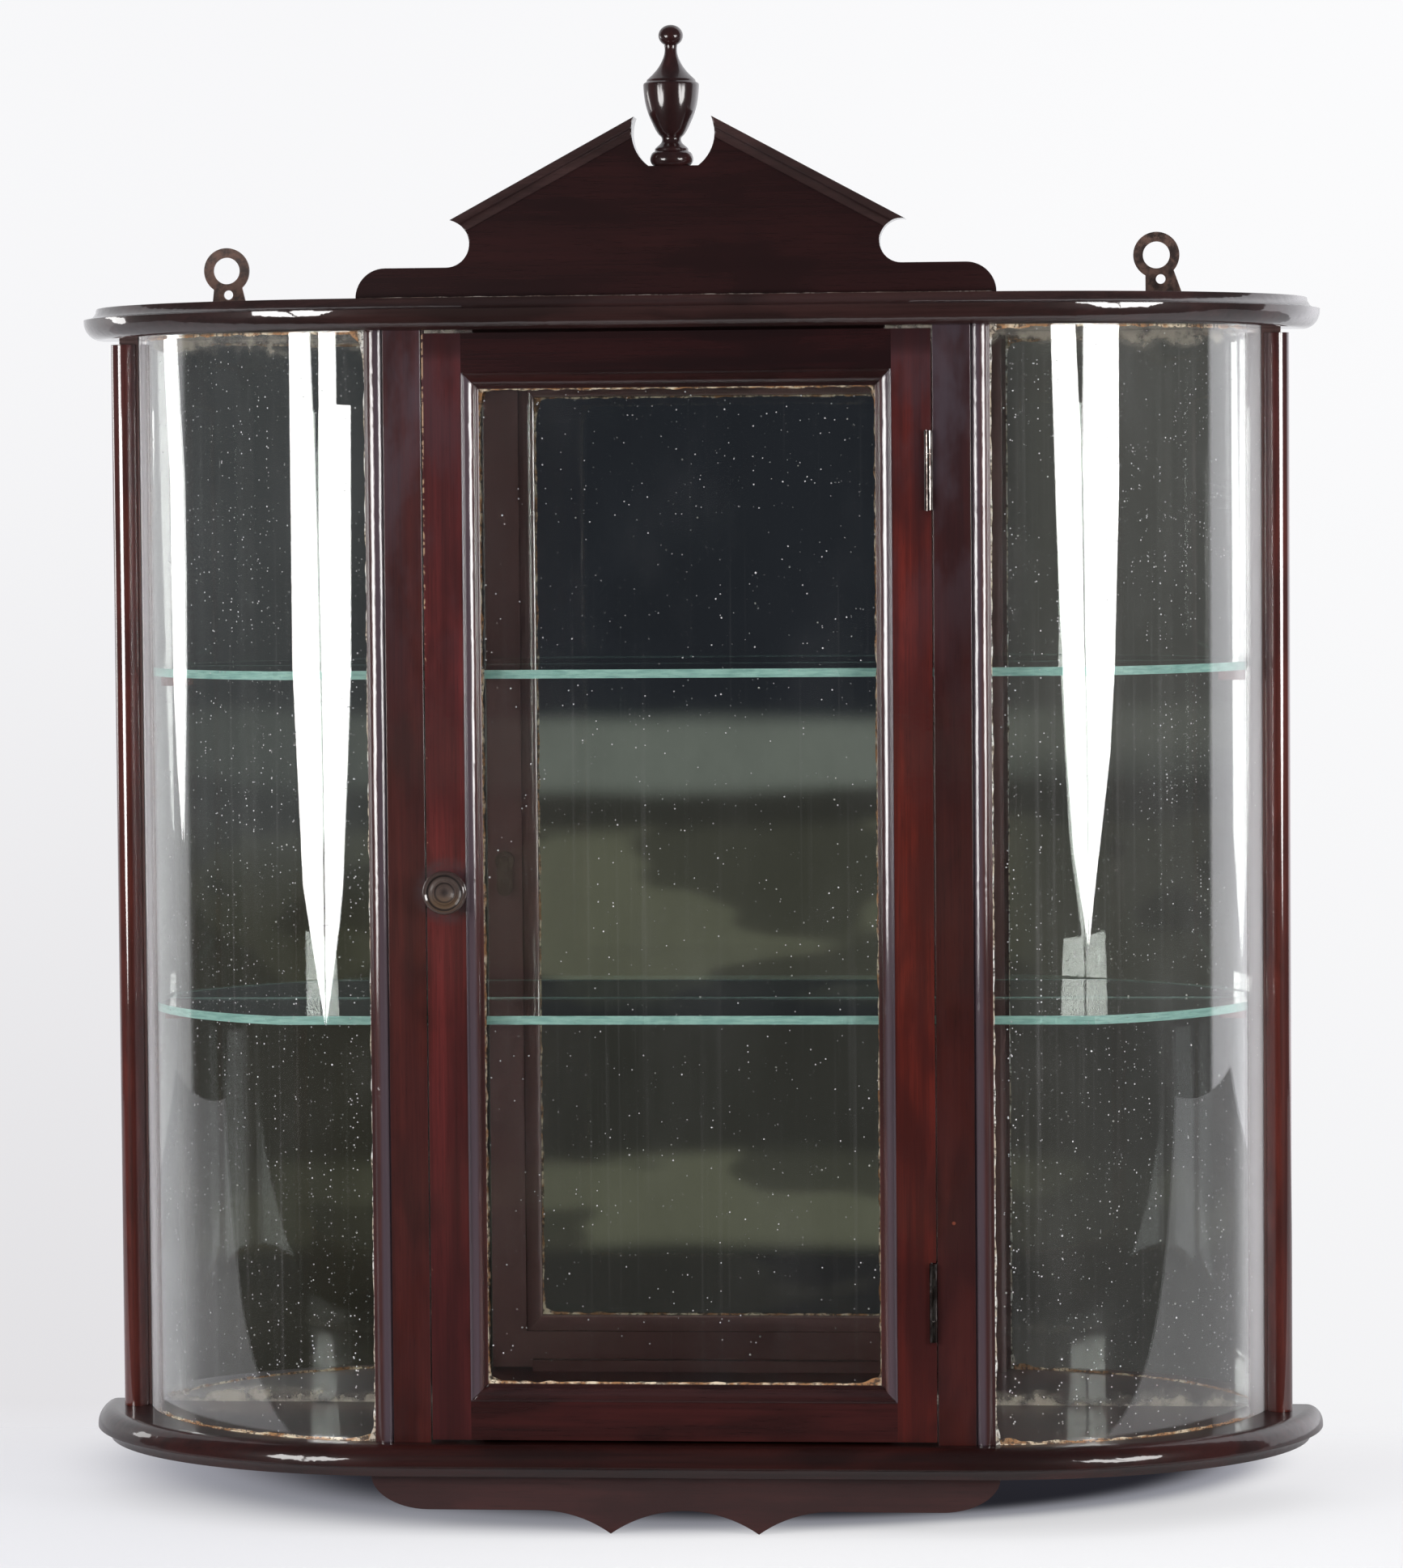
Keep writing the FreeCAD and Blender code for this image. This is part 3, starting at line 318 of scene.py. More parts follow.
def painted_end_shade(tree, place, colour):
    """Painted shade: the stiles are darker towards both ends, most of all where they meet the rails."""
    low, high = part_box("door_left_stile")
    height = add_node(tree, "ShaderNodeSeparateXYZ", Vector=place).outputs["Z"]
    head = math_node(tree, "MAXIMUM", ramp(tree, height, 0.0, 0.8, high.z - 0.022, high.z - 0.006),
                     ramp(tree, height, 0.0, 0.42, high.z - 0.150, high.z - 0.050))
    foot = ramp(tree, height, 0.65, 0.0, low.z + 0.004, low.z + 0.300)
    return mix_colour(tree, math_node(tree, "ADD", head, foot), colour, rgb(0.020, 0.0055, 0.0060))


# Nicks, grime and chipped polish, with painted shade at both ends of the stile
def closing_stile_marks_and_shade(tree, place, colour):
    worn = painted_end_shade(tree, place, small_nicks(tree, place, colour))
    return closing_edge_wear(tree, place, finger_grime(tree, place, worn))


# Nicks, with painted shade at both ends of the stile
def hinge_stile_marks_and_shade(tree, place, colour):
    return painted_end_shade(tree, place, small_nicks(tree, place, colour))


def painted_edge_sheen(tree, place, colour):
    """Painted sheen: a grey veil on the outer half of the door's mouldings and the inner half of the
    post beads.
    """
    moulding_low, moulding_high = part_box("door_right_moulding")
    bead_low, bead_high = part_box("right_post_bead")
    moulding_middle = (moulding_low.x + moulding_high.x) / 2
    bead_middle = (bead_low.x + bead_high.x) / 2
    sideways = add_node(tree, "ShaderNodeSeparateXYZ", Vector=place).outputs["X"]
    out = math_node(tree, "ABSOLUTE", sideways)
    on_moulding = ramp(tree, out, 0.0, 1.0, moulding_middle - 0.0015, moulding_middle + 0.0005)
    on_bead = ramp(tree, out, 1.0, 0.0, bead_middle - 0.001, bead_middle + 0.001)
    sheen_mask = math_node(tree, "MULTIPLY", on_moulding, on_bead)
    return mix_colour(tree, math_node(tree, "MULTIPLY", sheen_mask, 0.8), colour, rgb(0.070, 0.053, 0.067))


def near_ring(tree, out, radius, width, strength):
    """Strength at a radius, falling to 0 at half the width either side."""
    away = math_node(tree, "ABSOLUTE", math_node(tree, "SUBTRACT", out, radius))
    return ramp(tree, away, strength, 0.0, width * 0.1, width * 0.5)


def knob_wood(name):
    """The turned knob: dull from handling, with painted shade in its rings and central pit and round
    its outer edge, and still glossy round its rim.
    """
    material, tree, output = new_material(name)
    place = object_place(tree)
    out, up = away_from_knob(tree, place)
    colour = wood_colour(tree, place, ALONG_Y, rgb(0.046, 0.034, 0.031), rgb(0.084, 0.060, 0.052))
    rubbed = ramp(tree, up, 0.8, 0.0, -0.006, 0.001)
    colour = mix_colour(tree, rubbed, colour, rgb(0.100, 0.062, 0.036))
    # Painted shade in the central pit and in two rings
    pit = ramp(tree, out, 0.75, 0.0, 0.0005, 0.0030)
    rings = math_node(tree, "MAXIMUM",
                      near_ring(tree, out, radius=0.0046, width=0.0013, strength=0.7),
                      near_ring(tree, out, radius=0.0083, width=0.0018, strength=0.9))
    dirt_and_shade = math_node(tree, "MAXIMUM", pit, rings)
    colour = mix_colour(tree, dirt_and_shade, colour, rgb(0.016, 0.012, 0.012))
    # Painted shade round the knob's outer edge
    rim = ramp(tree, out, 0.0, 0.7, 0.0086, 0.0096)
    colour = mix_colour(tree, rim, colour, rgb(0.030, 0.014, 0.013))
    grain = noise(tree, place, (400.0, 60.0, 400.0), 3.0, 0.6)
    bump = add_node(tree, "ShaderNodeBump", Strength=0.3, Distance=0.0001, Height=grain)
    shader = add_node(tree, "ShaderNodeBsdfPrincipled", Base_Color=colour, Roughness=0.45,
                      Specular_IOR_Level=0.15, Normal=bump.outputs[0],
                      Coat_Weight=ramp(tree, out, 0.08, 0.9, 0.0076, 0.0090), Coat_Roughness=0.05)
    show(tree, output, shader.outputs[0])
    return material


def plain_wood(name):
    """Stained wood with no polish, for the back and the glue blocks."""
    material, tree, output = new_material(name)
    place = object_place(tree)
    broad = noise(tree, place, (16.0, 40.0, 1.6), 4.0, 0.55, 0.6)
    streaks = noise(tree, place, (260.0, 260.0, 5.0), 5.0, 0.6)
    tone = ramp(tree, math_node(tree, "ADD", math_node(tree, "MULTIPLY", broad, 0.6),
                                math_node(tree, "MULTIPLY", streaks, 0.4)), 0.0, 1.0, 0.32, 0.66)
    colour = mix_colour(tree, tone, rgb(0.17, 0.085, 0.042), rgb(0.36, 0.21, 0.115))
    stains = noise(tree, place, (7.0, 7.0, 5.0), 5.0, 0.6)
    colour = mix_colour(tree, ramp(tree, stains, 0.0, 0.6, 0.52, 0.72), colour, rgb(0.12, 0.07, 0.04))
    bump = add_node(tree, "ShaderNodeBump", Strength=0.5, Distance=0.0003, Height=streaks)
    shader = add_node(tree, "ShaderNodeBsdfPrincipled", Base_Color=colour, Roughness=0.72,
                      Normal=bump.outputs[0])
    show(tree, output, shader.outputs[0])
    return material


# Metal

def hinge_metal(name, brown, bright, metallic=0.95):
    """Browned brass, rubbed bright in patches. It is less metallic under a thick skin of tarnish."""
    material, tree, output = new_material(name)
    place = object_place(tree)
    wear = noise(tree, place, (420.0, 420.0, 130.0), 5.0, 0.65)
    rubbed = ramp(tree, wear, 0.0, 1.0, 0.42, 0.60)
    colour = mix_colour(tree, rubbed, brown, bright)
    grime = noise(tree, place, (900.0, 900.0, 900.0), 3.0, 0.6)
    colour = mix_colour(tree, ramp(tree, grime, 0.0, 0.8, 0.56, 0.66), colour, rgb(0.05, 0.03, 0.022))
    rough = ramp(tree, wear, 0.24, 0.12, 0.4, 0.65)
    bump = add_node(tree, "ShaderNodeBump", Strength=0.3, Distance=0.0001, Height=wear)
    shader = add_node(tree, "ShaderNodeBsdfPrincipled", Base_Color=colour, Metallic=metallic,
                      Roughness=rough, Normal=bump.outputs[0])
    show(tree, output, shader.outputs[0])
    return material


def hanger_metal(name):
    """Thin iron plate with a brown rust skin."""
    material, tree, output = new_material(name)
    place = object_place(tree)
    patches = noise(tree, place, (170.0, 170.0, 170.0), 6.0, 0.65, 0.3)
    grains = noise(tree, place, (1500.0, 1500.0, 1500.0), 3.0, 0.6)
    colour = mix_colour(tree, ramp(tree, patches, 0.0, 1.0, 0.40, 0.62),
                        rgb(0.060, 0.040, 0.036), rgb(0.200, 0.118, 0.094))
    colour = mix_colour(tree, ramp(tree, grains, 0.0, 0.5, 0.58, 0.72), colour, rgb(0.28, 0.20, 0.16))
    height = math_node(tree, "ADD", patches, math_node(tree, "MULTIPLY", grains, 0.5))
    bump = add_node(tree, "ShaderNodeBump", Strength=0.5, Distance=0.0002, Height=height)
    shader = add_node(tree, "ShaderNodeBsdfPrincipled", Base_Color=colour, Metallic=0.45,
                      Roughness=ramp(tree, patches, 0.40, 0.62, 0.35, 0.6), Normal=bump.outputs[0])
    show(tree, output, shader.outputs[0])
    return material


def screw_metal(name):
    material, tree, output = new_material(name)
    place = object_place(tree)
    wear = noise(tree, place, (600.0, 600.0, 600.0), 4.0, 0.6)
    colour = mix_colour(tree, ramp(tree, wear, 0.0, 1.0, 0.4, 0.65),
                        rgb(0.11, 0.09, 0.075), rgb(0.34, 0.31, 0.28))
    bump = add_node(tree, "ShaderNodeBump", Strength=0.3, Distance=0.0001, Height=wear)
    shader = add_node(tree, "ShaderNodeBsdfPrincipled", Base_Color=colour, Metallic=0.9,
                      Roughness=0.45, Normal=bump.outputs[0])
    show(tree, output, shader.outputs[0])
    return material


# Glass

def with_lamp_light(tree, shader):
    """Let light from the lamps through the glass to what is behind it."""
    path = add_node(tree, "ShaderNodeLightPath")
    clear = add_node(tree, "ShaderNodeBsdfTransparent", Color=grey(0.92))
    mixed = add_node(tree, "ShaderNodeMixShader",
                     at={0: path.outputs["Is Shadow Ray"], 1: shader, 2: clear.outputs[0]})
    return mixed.outputs[0]


def dust_marks(tree, place, density):
    """Dust on glass: fine specks in patches, fewer large ones, and short upright scratches."""
    patches = ramp(tree, noise(tree, place, (24.0, 24.0, 24.0), 3.0, 0.6), 0.20, 0.85, 0.38, 0.62)
    fine = specks(tree, place, scale=430.0, size=0.21, share=0.26 * density)
    large = specks(tree, place, scale=130.0, size=0.080, share=0.13 * density)
    upright = stretched(tree, place, (7.0, 7.0, 1.0))
    hairs = specks(tree, upright, scale=75.0, size=0.11, share=0.10 * density)
    faint = math_node(tree, "MAXIMUM", math_node(tree, "MULTIPLY", large, 0.9),
                      math_node(tree, "MULTIPLY", hairs, 0.35))
    return math_node(tree, "MAXIMUM", math_node(tree, "MULTIPLY", fine, patches), faint)


# Distance from the middle of the cabinet at which the panes' painted reflection, a pale band, starts
# and is full
PAINTED_REFLECTION_FROM = 0.266
PAINTED_REFLECTION_TO = 0.279


def pane_glass(name, film, density):
    """Old sheet glass with a thin film of dust, a pale painted reflection at the cabinet's ends, and
    fine specks.
    """
    material, tree, output = new_material(name)
    place = object_place(tree)
    wave = noise(tree, place, (9.0, 9.0, 5.0), 2.0, 0.5)
    bump = add_node(tree, "ShaderNodeBump", Strength=0.05, Distance=0.002, Height=wave)
    glass = add_node(tree, "ShaderNodeBsdfPrincipled", Base_Color=rgb(0.975, 0.99, 0.985),
                     Transmission_Weight=1.0, Roughness=0.0, IOR=1.5, Normal=bump.outputs[0])
    drips = noise(tree, place, (300.0, 300.0, 2.2), 3.0, 0.6)
    cloud = noise(tree, place, (16.0, 16.0, 7.0), 4.0, 0.6)
    streak = ramp(tree, drips, 0.0, film * 3.0, 0.58, 0.78)
    haze = ramp(tree, cloud, 0.0, film, 0.45, 0.80)
    sideways = add_node(tree, "ShaderNodeSeparateXYZ", Vector=place).outputs["X"]
    out = math_node(tree, "ABSOLUTE", sideways)
    # Painted reflection: a pale band towards the cabinet's ends, drawn with the dust layer
    painted_end_reflection = ramp(tree, out, 0.0, 0.46, PAINTED_REFLECTION_FROM, PAINTED_REFLECTION_TO)
    dust_and_painted_reflection = math_node(tree, "ADD", math_node(tree, "ADD", streak, haze), painted_end_reflection)
    amount = math_node(tree, "MAXIMUM", dust_and_painted_reflection, dust_marks(tree, place, density))
    dust = add_node(tree, "ShaderNodeBsdfDiffuse", Color=rgb(0.68, 0.67, 0.69))
    dusty = add_node(tree, "ShaderNodeMixShader",
                     at={0: amount, 1: glass.outputs[0], 2: dust.outputs[0]})
    show(tree, output, with_lamp_light(tree, dusty.outputs[0]))
    return material


def shelf_glass(name):
    """Clear shelf glass whose ground edge glows pale green."""
    material, tree, output = new_material(name)
    place = object_place(tree)
    normal = add_node(tree, "ShaderNodeNewGeometry").outputs["Normal"]
    parts = add_node(tree, "ShaderNodeSeparateXYZ", Vector=normal)
    level = math_node(tree, "ABSOLUTE", parts.outputs["Z"])
    edge = ramp(tree, level, 1.0, 0.0, 0.3, 0.7)
    clear = add_node(tree, "ShaderNodeBsdfPrincipled", Base_Color=rgb(0.93, 0.985, 0.965),
                     Transmission_Weight=1.0, Roughness=0.0, IOR=1.5)
    grain = noise(tree, place, (120.0, 120.0, 900.0), 4.0, 0.6)
    green = mix_colour(tree, ramp(tree, grain, 0.0, 1.0, 0.30, 0.70),
                       rgb(0.13, 0.27, 0.235), rgb(0.25, 0.43, 0.38))
    ground = add_node(tree, "ShaderNodeBsdfPrincipled", Base_Color=green, Roughness=0.45,
                      Transmission_Weight=0.25, IOR=1.5)
    solid = add_node(tree, "ShaderNodeMixShader",
                     at={0: edge, 1: clear.outputs[0], 2: ground.outputs[0]})
    marks = math_node(tree, "MULTIPLY", specks(tree, place, scale=300.0, size=0.16, share=0.05),
                      ramp(tree, edge, 0.6, 0.15))
    dust = add_node(tree, "ShaderNodeBsdfDiffuse", Color=rgb(0.66, 0.67, 0.64))
    dusty = add_node(tree, "ShaderNodeMixShader",
                     at={0: marks, 1: solid.outputs[0], 2: dust.outputs[0]})
    show(tree, output, with_lamp_light(tree, dusty.outputs[0]))
    return material


def old_mirror(name):
    """Silvered glass, dulled and specked, with decay creeping in from its edges."""
    material, tree, output = new_material(name)
    place = object_place(tree)
    low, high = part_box("back_mirror")
    parts = add_node(tree, "ShaderNodeSeparateXYZ", Vector=place)
    left = math_node(tree, "SUBTRACT", parts.outputs["X"], low.x)
    right = math_node(tree, "SUBTRACT", high.x, parts.outputs["X"])
    bottom = math_node(tree, "SUBTRACT", parts.outputs["Z"], low.z)
    top = math_node(tree, "SUBTRACT", high.z, parts.outputs["Z"])
    inside = math_node(tree, "MINIMUM", math_node(tree, "MINIMUM", left, right),
                       math_node(tree, "MINIMUM", bottom, top))
    ragged = noise(tree, place, (70.0, 70.0, 70.0), 6.0, 0.7)
    reach = math_node(tree, "ADD", inside, math_node(tree, "MULTIPLY", ragged, -0.022))
    decayed = ramp(tree, reach, 0.8, 0.0, -0.010, -0.003)
    spots = math_node(tree, "MULTIPLY", dust_marks(tree, place, 1.0), 0.8)
    dull = noise(tree, place, (14.0, 14.0, 9.0), 5.0, 0.6)
    silver_colour = mix_colour(tree, ramp(tree, dull, 0.0, 1.0, 0.35, 0.7),
                               rgb(0.89, 0.91, 0.89), rgb(0.76, 0.78, 0.76))
    silver = add_node(tree, "ShaderNodeBsdfPrincipled", Base_Color=silver_colour, Metallic=1.0,
                      Roughness=0.02)
    decay_colour = mix_colour(tree, ramp(tree, ragged, 0.0, 1.0, 0.4, 0.6),
                              rgb(0.10, 0.09, 0.08), rgb(0.30, 0.27, 0.22))
    decay = add_node(tree, "ShaderNodeBsdfPrincipled", Base_Color=decay_colour, Roughness=0.4)
    dust = add_node(tree, "ShaderNodeBsdfDiffuse", Color=rgb(0.45, 0.45, 0.42))
    spotted = add_node(tree, "ShaderNodeMixShader",
                       at={0: spots, 1: silver.outputs[0], 2: dust.outputs[0]})
    aged = add_node(tree, "ShaderNodeMixShader",
                    at={0: decayed, 1: spotted.outputs[0], 2: decay.outputs[0]})
    show(tree, output, aged.outputs[0])
    return material


# Putty and dust

def putty(name, pale, stained):
    """Old putty, cream where it is clean and stained brown in patches."""
    material, tree, output = new_material(name)
    place = object_place(tree)
    patches = noise(tree, place, (95.0, 95.0, 95.0), 4.0, 0.6)
    colour = mix_colour(tree, ramp(tree, patches, 0.0, 1.0, 0.40, 0.56), pale, stained)
    dirt_and_shade = noise(tree, place, (480.0, 480.0, 480.0), 4.0, 0.65)
    colour = mix_colour(tree, ramp(tree, dirt_and_shade, 0.0, 0.9, 0.48, 0.58), colour, rgb(0.05, 0.035, 0.028))
    bump = add_node(tree, "ShaderNodeBump", Strength=0.6, Distance=0.0003, Height=dirt_and_shade)
    shader = add_node(tree, "ShaderNodeBsdfPrincipled", Base_Color=colour, Roughness=0.7,
                      Specular_IOR_Level=0.3, Normal=bump.outputs[0])
    show(tree, output, shader.outputs[0])
    return material


def ridge(name, material, rides_on, corners, size, corner_size=0.0, corner_reach=0.008):
    """A thin uneven fillet run along an inside corner.

    Corners is a list of (point, first way, second way): where the corner is, and the two surfaces'
    directions away from it. Corner size is how much fatter the fillet is at the two ends of the run,
    and corner reach is how far from there it stays fat.
    """
    verts = []
    travelled = [0.0]
    for (here, _, _), (following, _, _) in zip(corners, corners[1:]):
        travelled.append(travelled[-1] + (following - here).length)
    for (point, first, second), distance in zip(corners, travelled):
        from_end = min(distance, travelled[-1] - distance)
        fat = size + corner_size * math.exp(-from_end / corner_reach)
        along_first = fat * (0.75 + 0.75 * mathutils_noise.noise(point * 160.0))
        along_second = size * (0.75 + 0.45 * mathutils_noise.noise(point * 230.0 + Vector((7, 3, 1))))
        verts.append(point)
        verts.append(point + first * along_first)
        verts.append(point + first * along_first * 0.28 + second * along_second * 0.28)
        verts.append(point + second * along_second)
    ring = 4
    faces = []
    for start in range(0, len(verts) - ring, ring):
        for k in range(ring):
            following = (k + 1) % ring
            faces.append((start + k, start + following, start + ring + following, start + ring + k))
    faces.append(tuple(range(ring)))
    faces.append(tuple(range(len(verts) - ring, len(verts))))
    mesh = bpy.data.meshes.new(name)
    mesh.from_pydata(verts, [], faces)
    mesh.update()
    edit = bmesh.new()
    edit.from_mesh(mesh)
    bmesh.ops.recalc_face_normals(edit, faces=edit.faces)
    edit.to_mesh(mesh)
    edit.free()
    mesh.materials.append(material)
    piece = bpy.data.objects.new(name, mesh)
    bpy.context.scene.collection.objects.link(piece)
    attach(piece, rides_on)
    return piece


def straight_corner(start, end, first, second, step=0.0015):
    count = max(2, int((end - start).length / step))
    return [(start.lerp(end, k / count), first, second) for k in range(count + 1)]


def bent_corner(side, radius, z, from_angle, to_angle, upright, outward, step=0.5):
    """The corner between a bent pane and a board. Side is 1 for the right bay and -1 for the left."""
    made = []
    count = int((to_angle - from_angle) / step)
    for k in range(count + 1):
        angle = math.radians(from_angle + (to_angle - from_angle) * k / count)
        away = Vector((side * math.sin(angle), -math.cos(angle), 0.0))
        centre = Vector((side * BEND_CENTRE_X, BEND_CENTRE_Y, z))
        made.append((centre + away * radius, Vector((0, 0, upright)), away * outward))
    return made


def make_pane_putty(material, edge_material):
    """Putty along the bent panes, inside and outside, and upright where they meet the post beads."""
    base_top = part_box("base_board")[1].z
    top_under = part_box("top_board")[0].z
    bead_outer_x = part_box("right_post_bead")[1].x
    bead_from_centre = bead_outer_x - BEND_CENTRE_X
    bead_y = BEND_CENTRE_Y - math.sqrt(PANE_OUTSIDE ** 2 - bead_from_centre ** 2)
    for word, side in (("left", -1.0), ("right", 1.0)):
        foot = bent_corner(side, PANE_INSIDE, base_top, FIRST_ANGLE, 75.0, upright=1.0, outward=-1.0)
        head = bent_corner(side, PANE_INSIDE, top_under, FIRST_ANGLE, 75.0, upright=-1.0, outward=-1.0)
        outer = bent_corner(side, PANE_OUTSIDE, base_top, FIRST_ANGLE, 72.0, upright=1.0, outward=1.0)
        edge = straight_corner(Vector((side * bead_outer_x, bead_y, base_top)),
                               Vector((side * bead_outer_x, bead_y, top_under)),
                               Vector((side, 0, 0)), Vector((0, -1, 0)))
        ridge(word + "_pane_foot_putty", material, "cabinet", foot, size=0.0012, corner_size=0.004)
        ridge(word + "_pane_head_putty", material, "cabinet", head, size=0.0012, corner_size=0.004)
        ridge(word + "_pane_outer_putty", material, "cabinet", outer, size=0.0006)
        ridge(word + "_pane_edge_putty", edge_material, "cabinet", edge, size=0.0008,
              corner_size=0.0030, corner_reach=0.006)


def make_door_putty(material):
    """Putty round the door glass, in front of it and behind it, fattest in the corners."""
    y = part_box("door_glass")[0].y
    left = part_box("door_left_stile")[1].x + MOULDING_WIDTH
    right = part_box("door_right_stile")[0].x - MOULDING_WIDTH
    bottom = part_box("door_bottom_rail")[1].z + MOULDING_WIDTH
    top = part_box("door_top_rail")[0].z - MOULDING_WIDTH
    low_left, low_right = Vector((left, y, bottom)), Vector((right, y, bottom))
    high_left, high_right = Vector((left, y, top)), Vector((right, y, top))
    forward = Vector((0, -1, 0))
    # Each run: its start and end, the way in from the frame, its size, and how much fatter its ends are
    runs = {
        "bottom": (low_left, low_right, Vector((0, 0, 1)), 0.0010, 0.0060),
        "top": (high_left, high_right, Vector((0, 0, -1)), 0.0006, 0.0035),
        "left": (low_left, high_left, Vector((1, 0, 0)), 0.0003, 0.0050),
        "right": (low_right, high_right, Vector((-1, 0, 0)), 0.0003, 0.0035),
    }
    glass_back = Vector((0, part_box("door_glass")[1].y - y, 0))
    reach = 0.0035
    for word, (start, end, inward, size, corner_size) in runs.items():
        ridge("door_" + word + "_putty", material, "door",
              straight_corner(start, end, inward, forward), size, corner_size, reach)
        ridge("door_" + word + "_inner_putty", material, "door",
              straight_corner(start + glass_back, end + glass_back, inward, -forward),
              0.0010, corner_size * 0.8, reach)


def make_dust_line(material):
    """Dust along the foot of the pediment board."""
    low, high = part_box("pediment_board")
    clear_of_ends = 0.002
    start = Vector((low.x + clear_of_ends, low.y, low.z))
    end = Vector((high.x - clear_of_ends, low.y, low.z))
    corner = straight_corner(start, end, Vector((0, -1, 0)), Vector((0, 0, 1)))
    ridge("pediment_dust", material, "cabinet", corner, size=0.0006)


# Stage, lamps and camera

def contact_shade(tree, x, y):
    """Soft shade under the cabinet: 1 well under it, and fading out further on the left."""
    across = math_node(tree, "DIVIDE", x, SHADE_HALF_WIDTH)
    along = math_node(tree, "DIVIDE", math_node(tree, "SUBTRACT", y, SHADE_CENTRE_Y), SHADE_HALF_DEPTH)
    square = math_node(tree, "ADD", math_node(tree, "MULTIPLY", across, across),
                       math_node(tree, "MULTIPLY", along, along))
    out = math_node(tree, "SQRT", square)
    inner = ramp(tree, x, 0.66, 0.82, -SHADE_TURN, SHADE_TURN)
    outer = ramp(tree, x, 1.36, 1.12, -SHADE_TURN, SHADE_TURN)
    return ramp(tree, out, 1.0, 0.0, inner, outer)


def make_floor():
    """White paper that fades into the backdrop, with a soft grey shade where the cabinet stands."""
    corners = [(-FLOOR_HALF, FLOOR_FRONT), (FLOOR_HALF, FLOOR_FRONT),
               (FLOOR_HALF, FLOOR_BACK), (-FLOOR_HALF, FLOOR_BACK)]
    mesh = bpy.data.meshes.new("paper_floor")
    mesh.from_pydata([(x, y, FLOOR_Z) for x, y in corners], [], [(0, 1, 2, 3)])
    floor = bpy.data.objects.new("paper_floor", mesh)
    bpy.context.scene.collection.objects.link(floor)
    material, tree, output = new_material("white_paper")
    place = object_place(tree)
    parts = add_node(tree, "ShaderNodeSeparateXYZ", Vector=place)
    fibres = noise(tree, place, (700.0, 700.0, 700.0), 3.0, 0.6)
    colour = mix_colour(tree, fibres, rgb(0.90, 0.90, 0.92), rgb(0.93, 0.93, 0.945))
    x, y = parts.outputs["X"], parts.outputs["Y"]
    # Painted shade: the paper is darker towards the left
    colour = mix_colour(tree, ramp(tree, x, 1.0, 0.0, -0.30, 0.10), colour, rgb(0.83, 0.83, 0.86))
    shade = contact_shade(tree, x, y)
    colour = mix_colour(tree, ramp(tree, shade, 0.0, 1.0, 0.0, 0.55), colour, rgb(0.36, 0.365, 0.41))
    colour = mix_colour(tree, ramp(tree, shade, 0.0, 1.0, 0.50, 1.0), colour, rgb(0.026, 0.026, 0.034))
    paper = add_node(tree, "ShaderNodeBsdfDiffuse", Color=colour)
    glow = add_node(tree, "ShaderNodeEmission", Color=colour, Strength=1.0)
    path = add_node(tree, "ShaderNodeLightPath")
    seen = path.outputs["Is Camera Ray"]
    own_light = math_node(tree, "MULTIPLY", seen, 0.65)
    lit = add_node(tree, "ShaderNodeMixShader",
                   at={0: own_light, 1: paper.outputs[0], 2: glow.outputs[0]})
    sideways = math_node(tree, "ABSOLUTE", x)
    far = math_node(tree, "MAXIMUM", ramp(tree, y, 0.0, 1.0, *BACK_FADE),
                    ramp(tree, sideways, 0.0, 1.0, *SIDE_FADE))
    far = math_node(tree, "MAXIMUM", far, ramp(tree, y, 1.0, 0.0, *FRONT_FADE))
    under = add_node(tree, "ShaderNodeNewGeometry").outputs["Backfacing"]
    beyond = math_node(tree, "MULTIPLY", math_node(tree, "LESS_THAN", y, MIRRORED_FRONT),
                       math_node(tree, "SUBTRACT", 1.0, seen))
    gone = math_node(tree, "MAXIMUM", math_node(tree, "MULTIPLY", far, seen),
                     math_node(tree, "MAXIMUM", under, beyond))
    clear = add_node(tree, "ShaderNodeBsdfTransparent")
    mixed = add_node(tree, "ShaderNodeMixShader",
                     at={0: gone, 1: lit.outputs[0], 2: clear.outputs[0]})
    show(tree, output, mixed.outputs[0])
    mesh.materials.append(material)


def room_in_front(tree, towards, x, z):
    """The dim room that the mirror shows, in uneven level bands that fade out to the sides.

    Bands and sides are placed by how far the line of sight points upwards and to the right.
    """
    wander = math_node(tree, "MULTIPLY", noise(tree, towards, (7.0, 7.0, 24.0), 3.0, 0.5), 0.014)
    height = math_node(tree, "SUBTRACT", math_node(tree, "ADD", z, wander), 0.007)
    dark = rgb(0.034, 0.033, 0.029)
    olive = rgb(0.105, 0.105, 0.076)
    room = rgb(0.018, 0.018, 0.019)
    pale = rgb(0.138, 0.149, 0.132)
    blue_grey = rgb(0.018, 0.020, 0.025)
    blur = 0.002
    for edge, above in ((-0.132, olive), (-0.116, dark), (-0.089, olive), (-0.056, dark),
                        (-0.049, pale), (-0.037, blue_grey)):
        room = mix_colour(tree, ramp(tree, height, 0.0, 1.0, edge - blur, edge + blur), room, above)
    patches = noise(tree, towards, (22.0, 22.0, 70.0), 2.0, 0.5)
    patchy = math_node(tree, "MULTIPLY", ramp(tree, patches, 0.0, 0.8, 0.49, 0.53),
                       ramp(tree, height, 0.9, 0.0, -0.056, -0.048))
    room = mix_colour(tree, patchy, room, dark)
    left = mix_colour(tree, ramp(tree, height, 0.0, 1.0, -0.075, -0.055),
                      rgb(0.024, 0.021, 0.012), rgb(0.064, 0.066, 0.066))
    right = mix_colour(tree, ramp(tree, height, 0.0, 1.0, -0.048, -0.042),
                       rgb(0.056, 0.053, 0.049), rgb(0.098, 0.094, 0.084))
    room = mix_colour(tree, ramp(tree, x, 0.70, 0.0, -0.155, -0.128), room, left)
    return mix_colour(tree, ramp(tree, x, 0.0, 0.75, -0.045, -0.020), room, right)


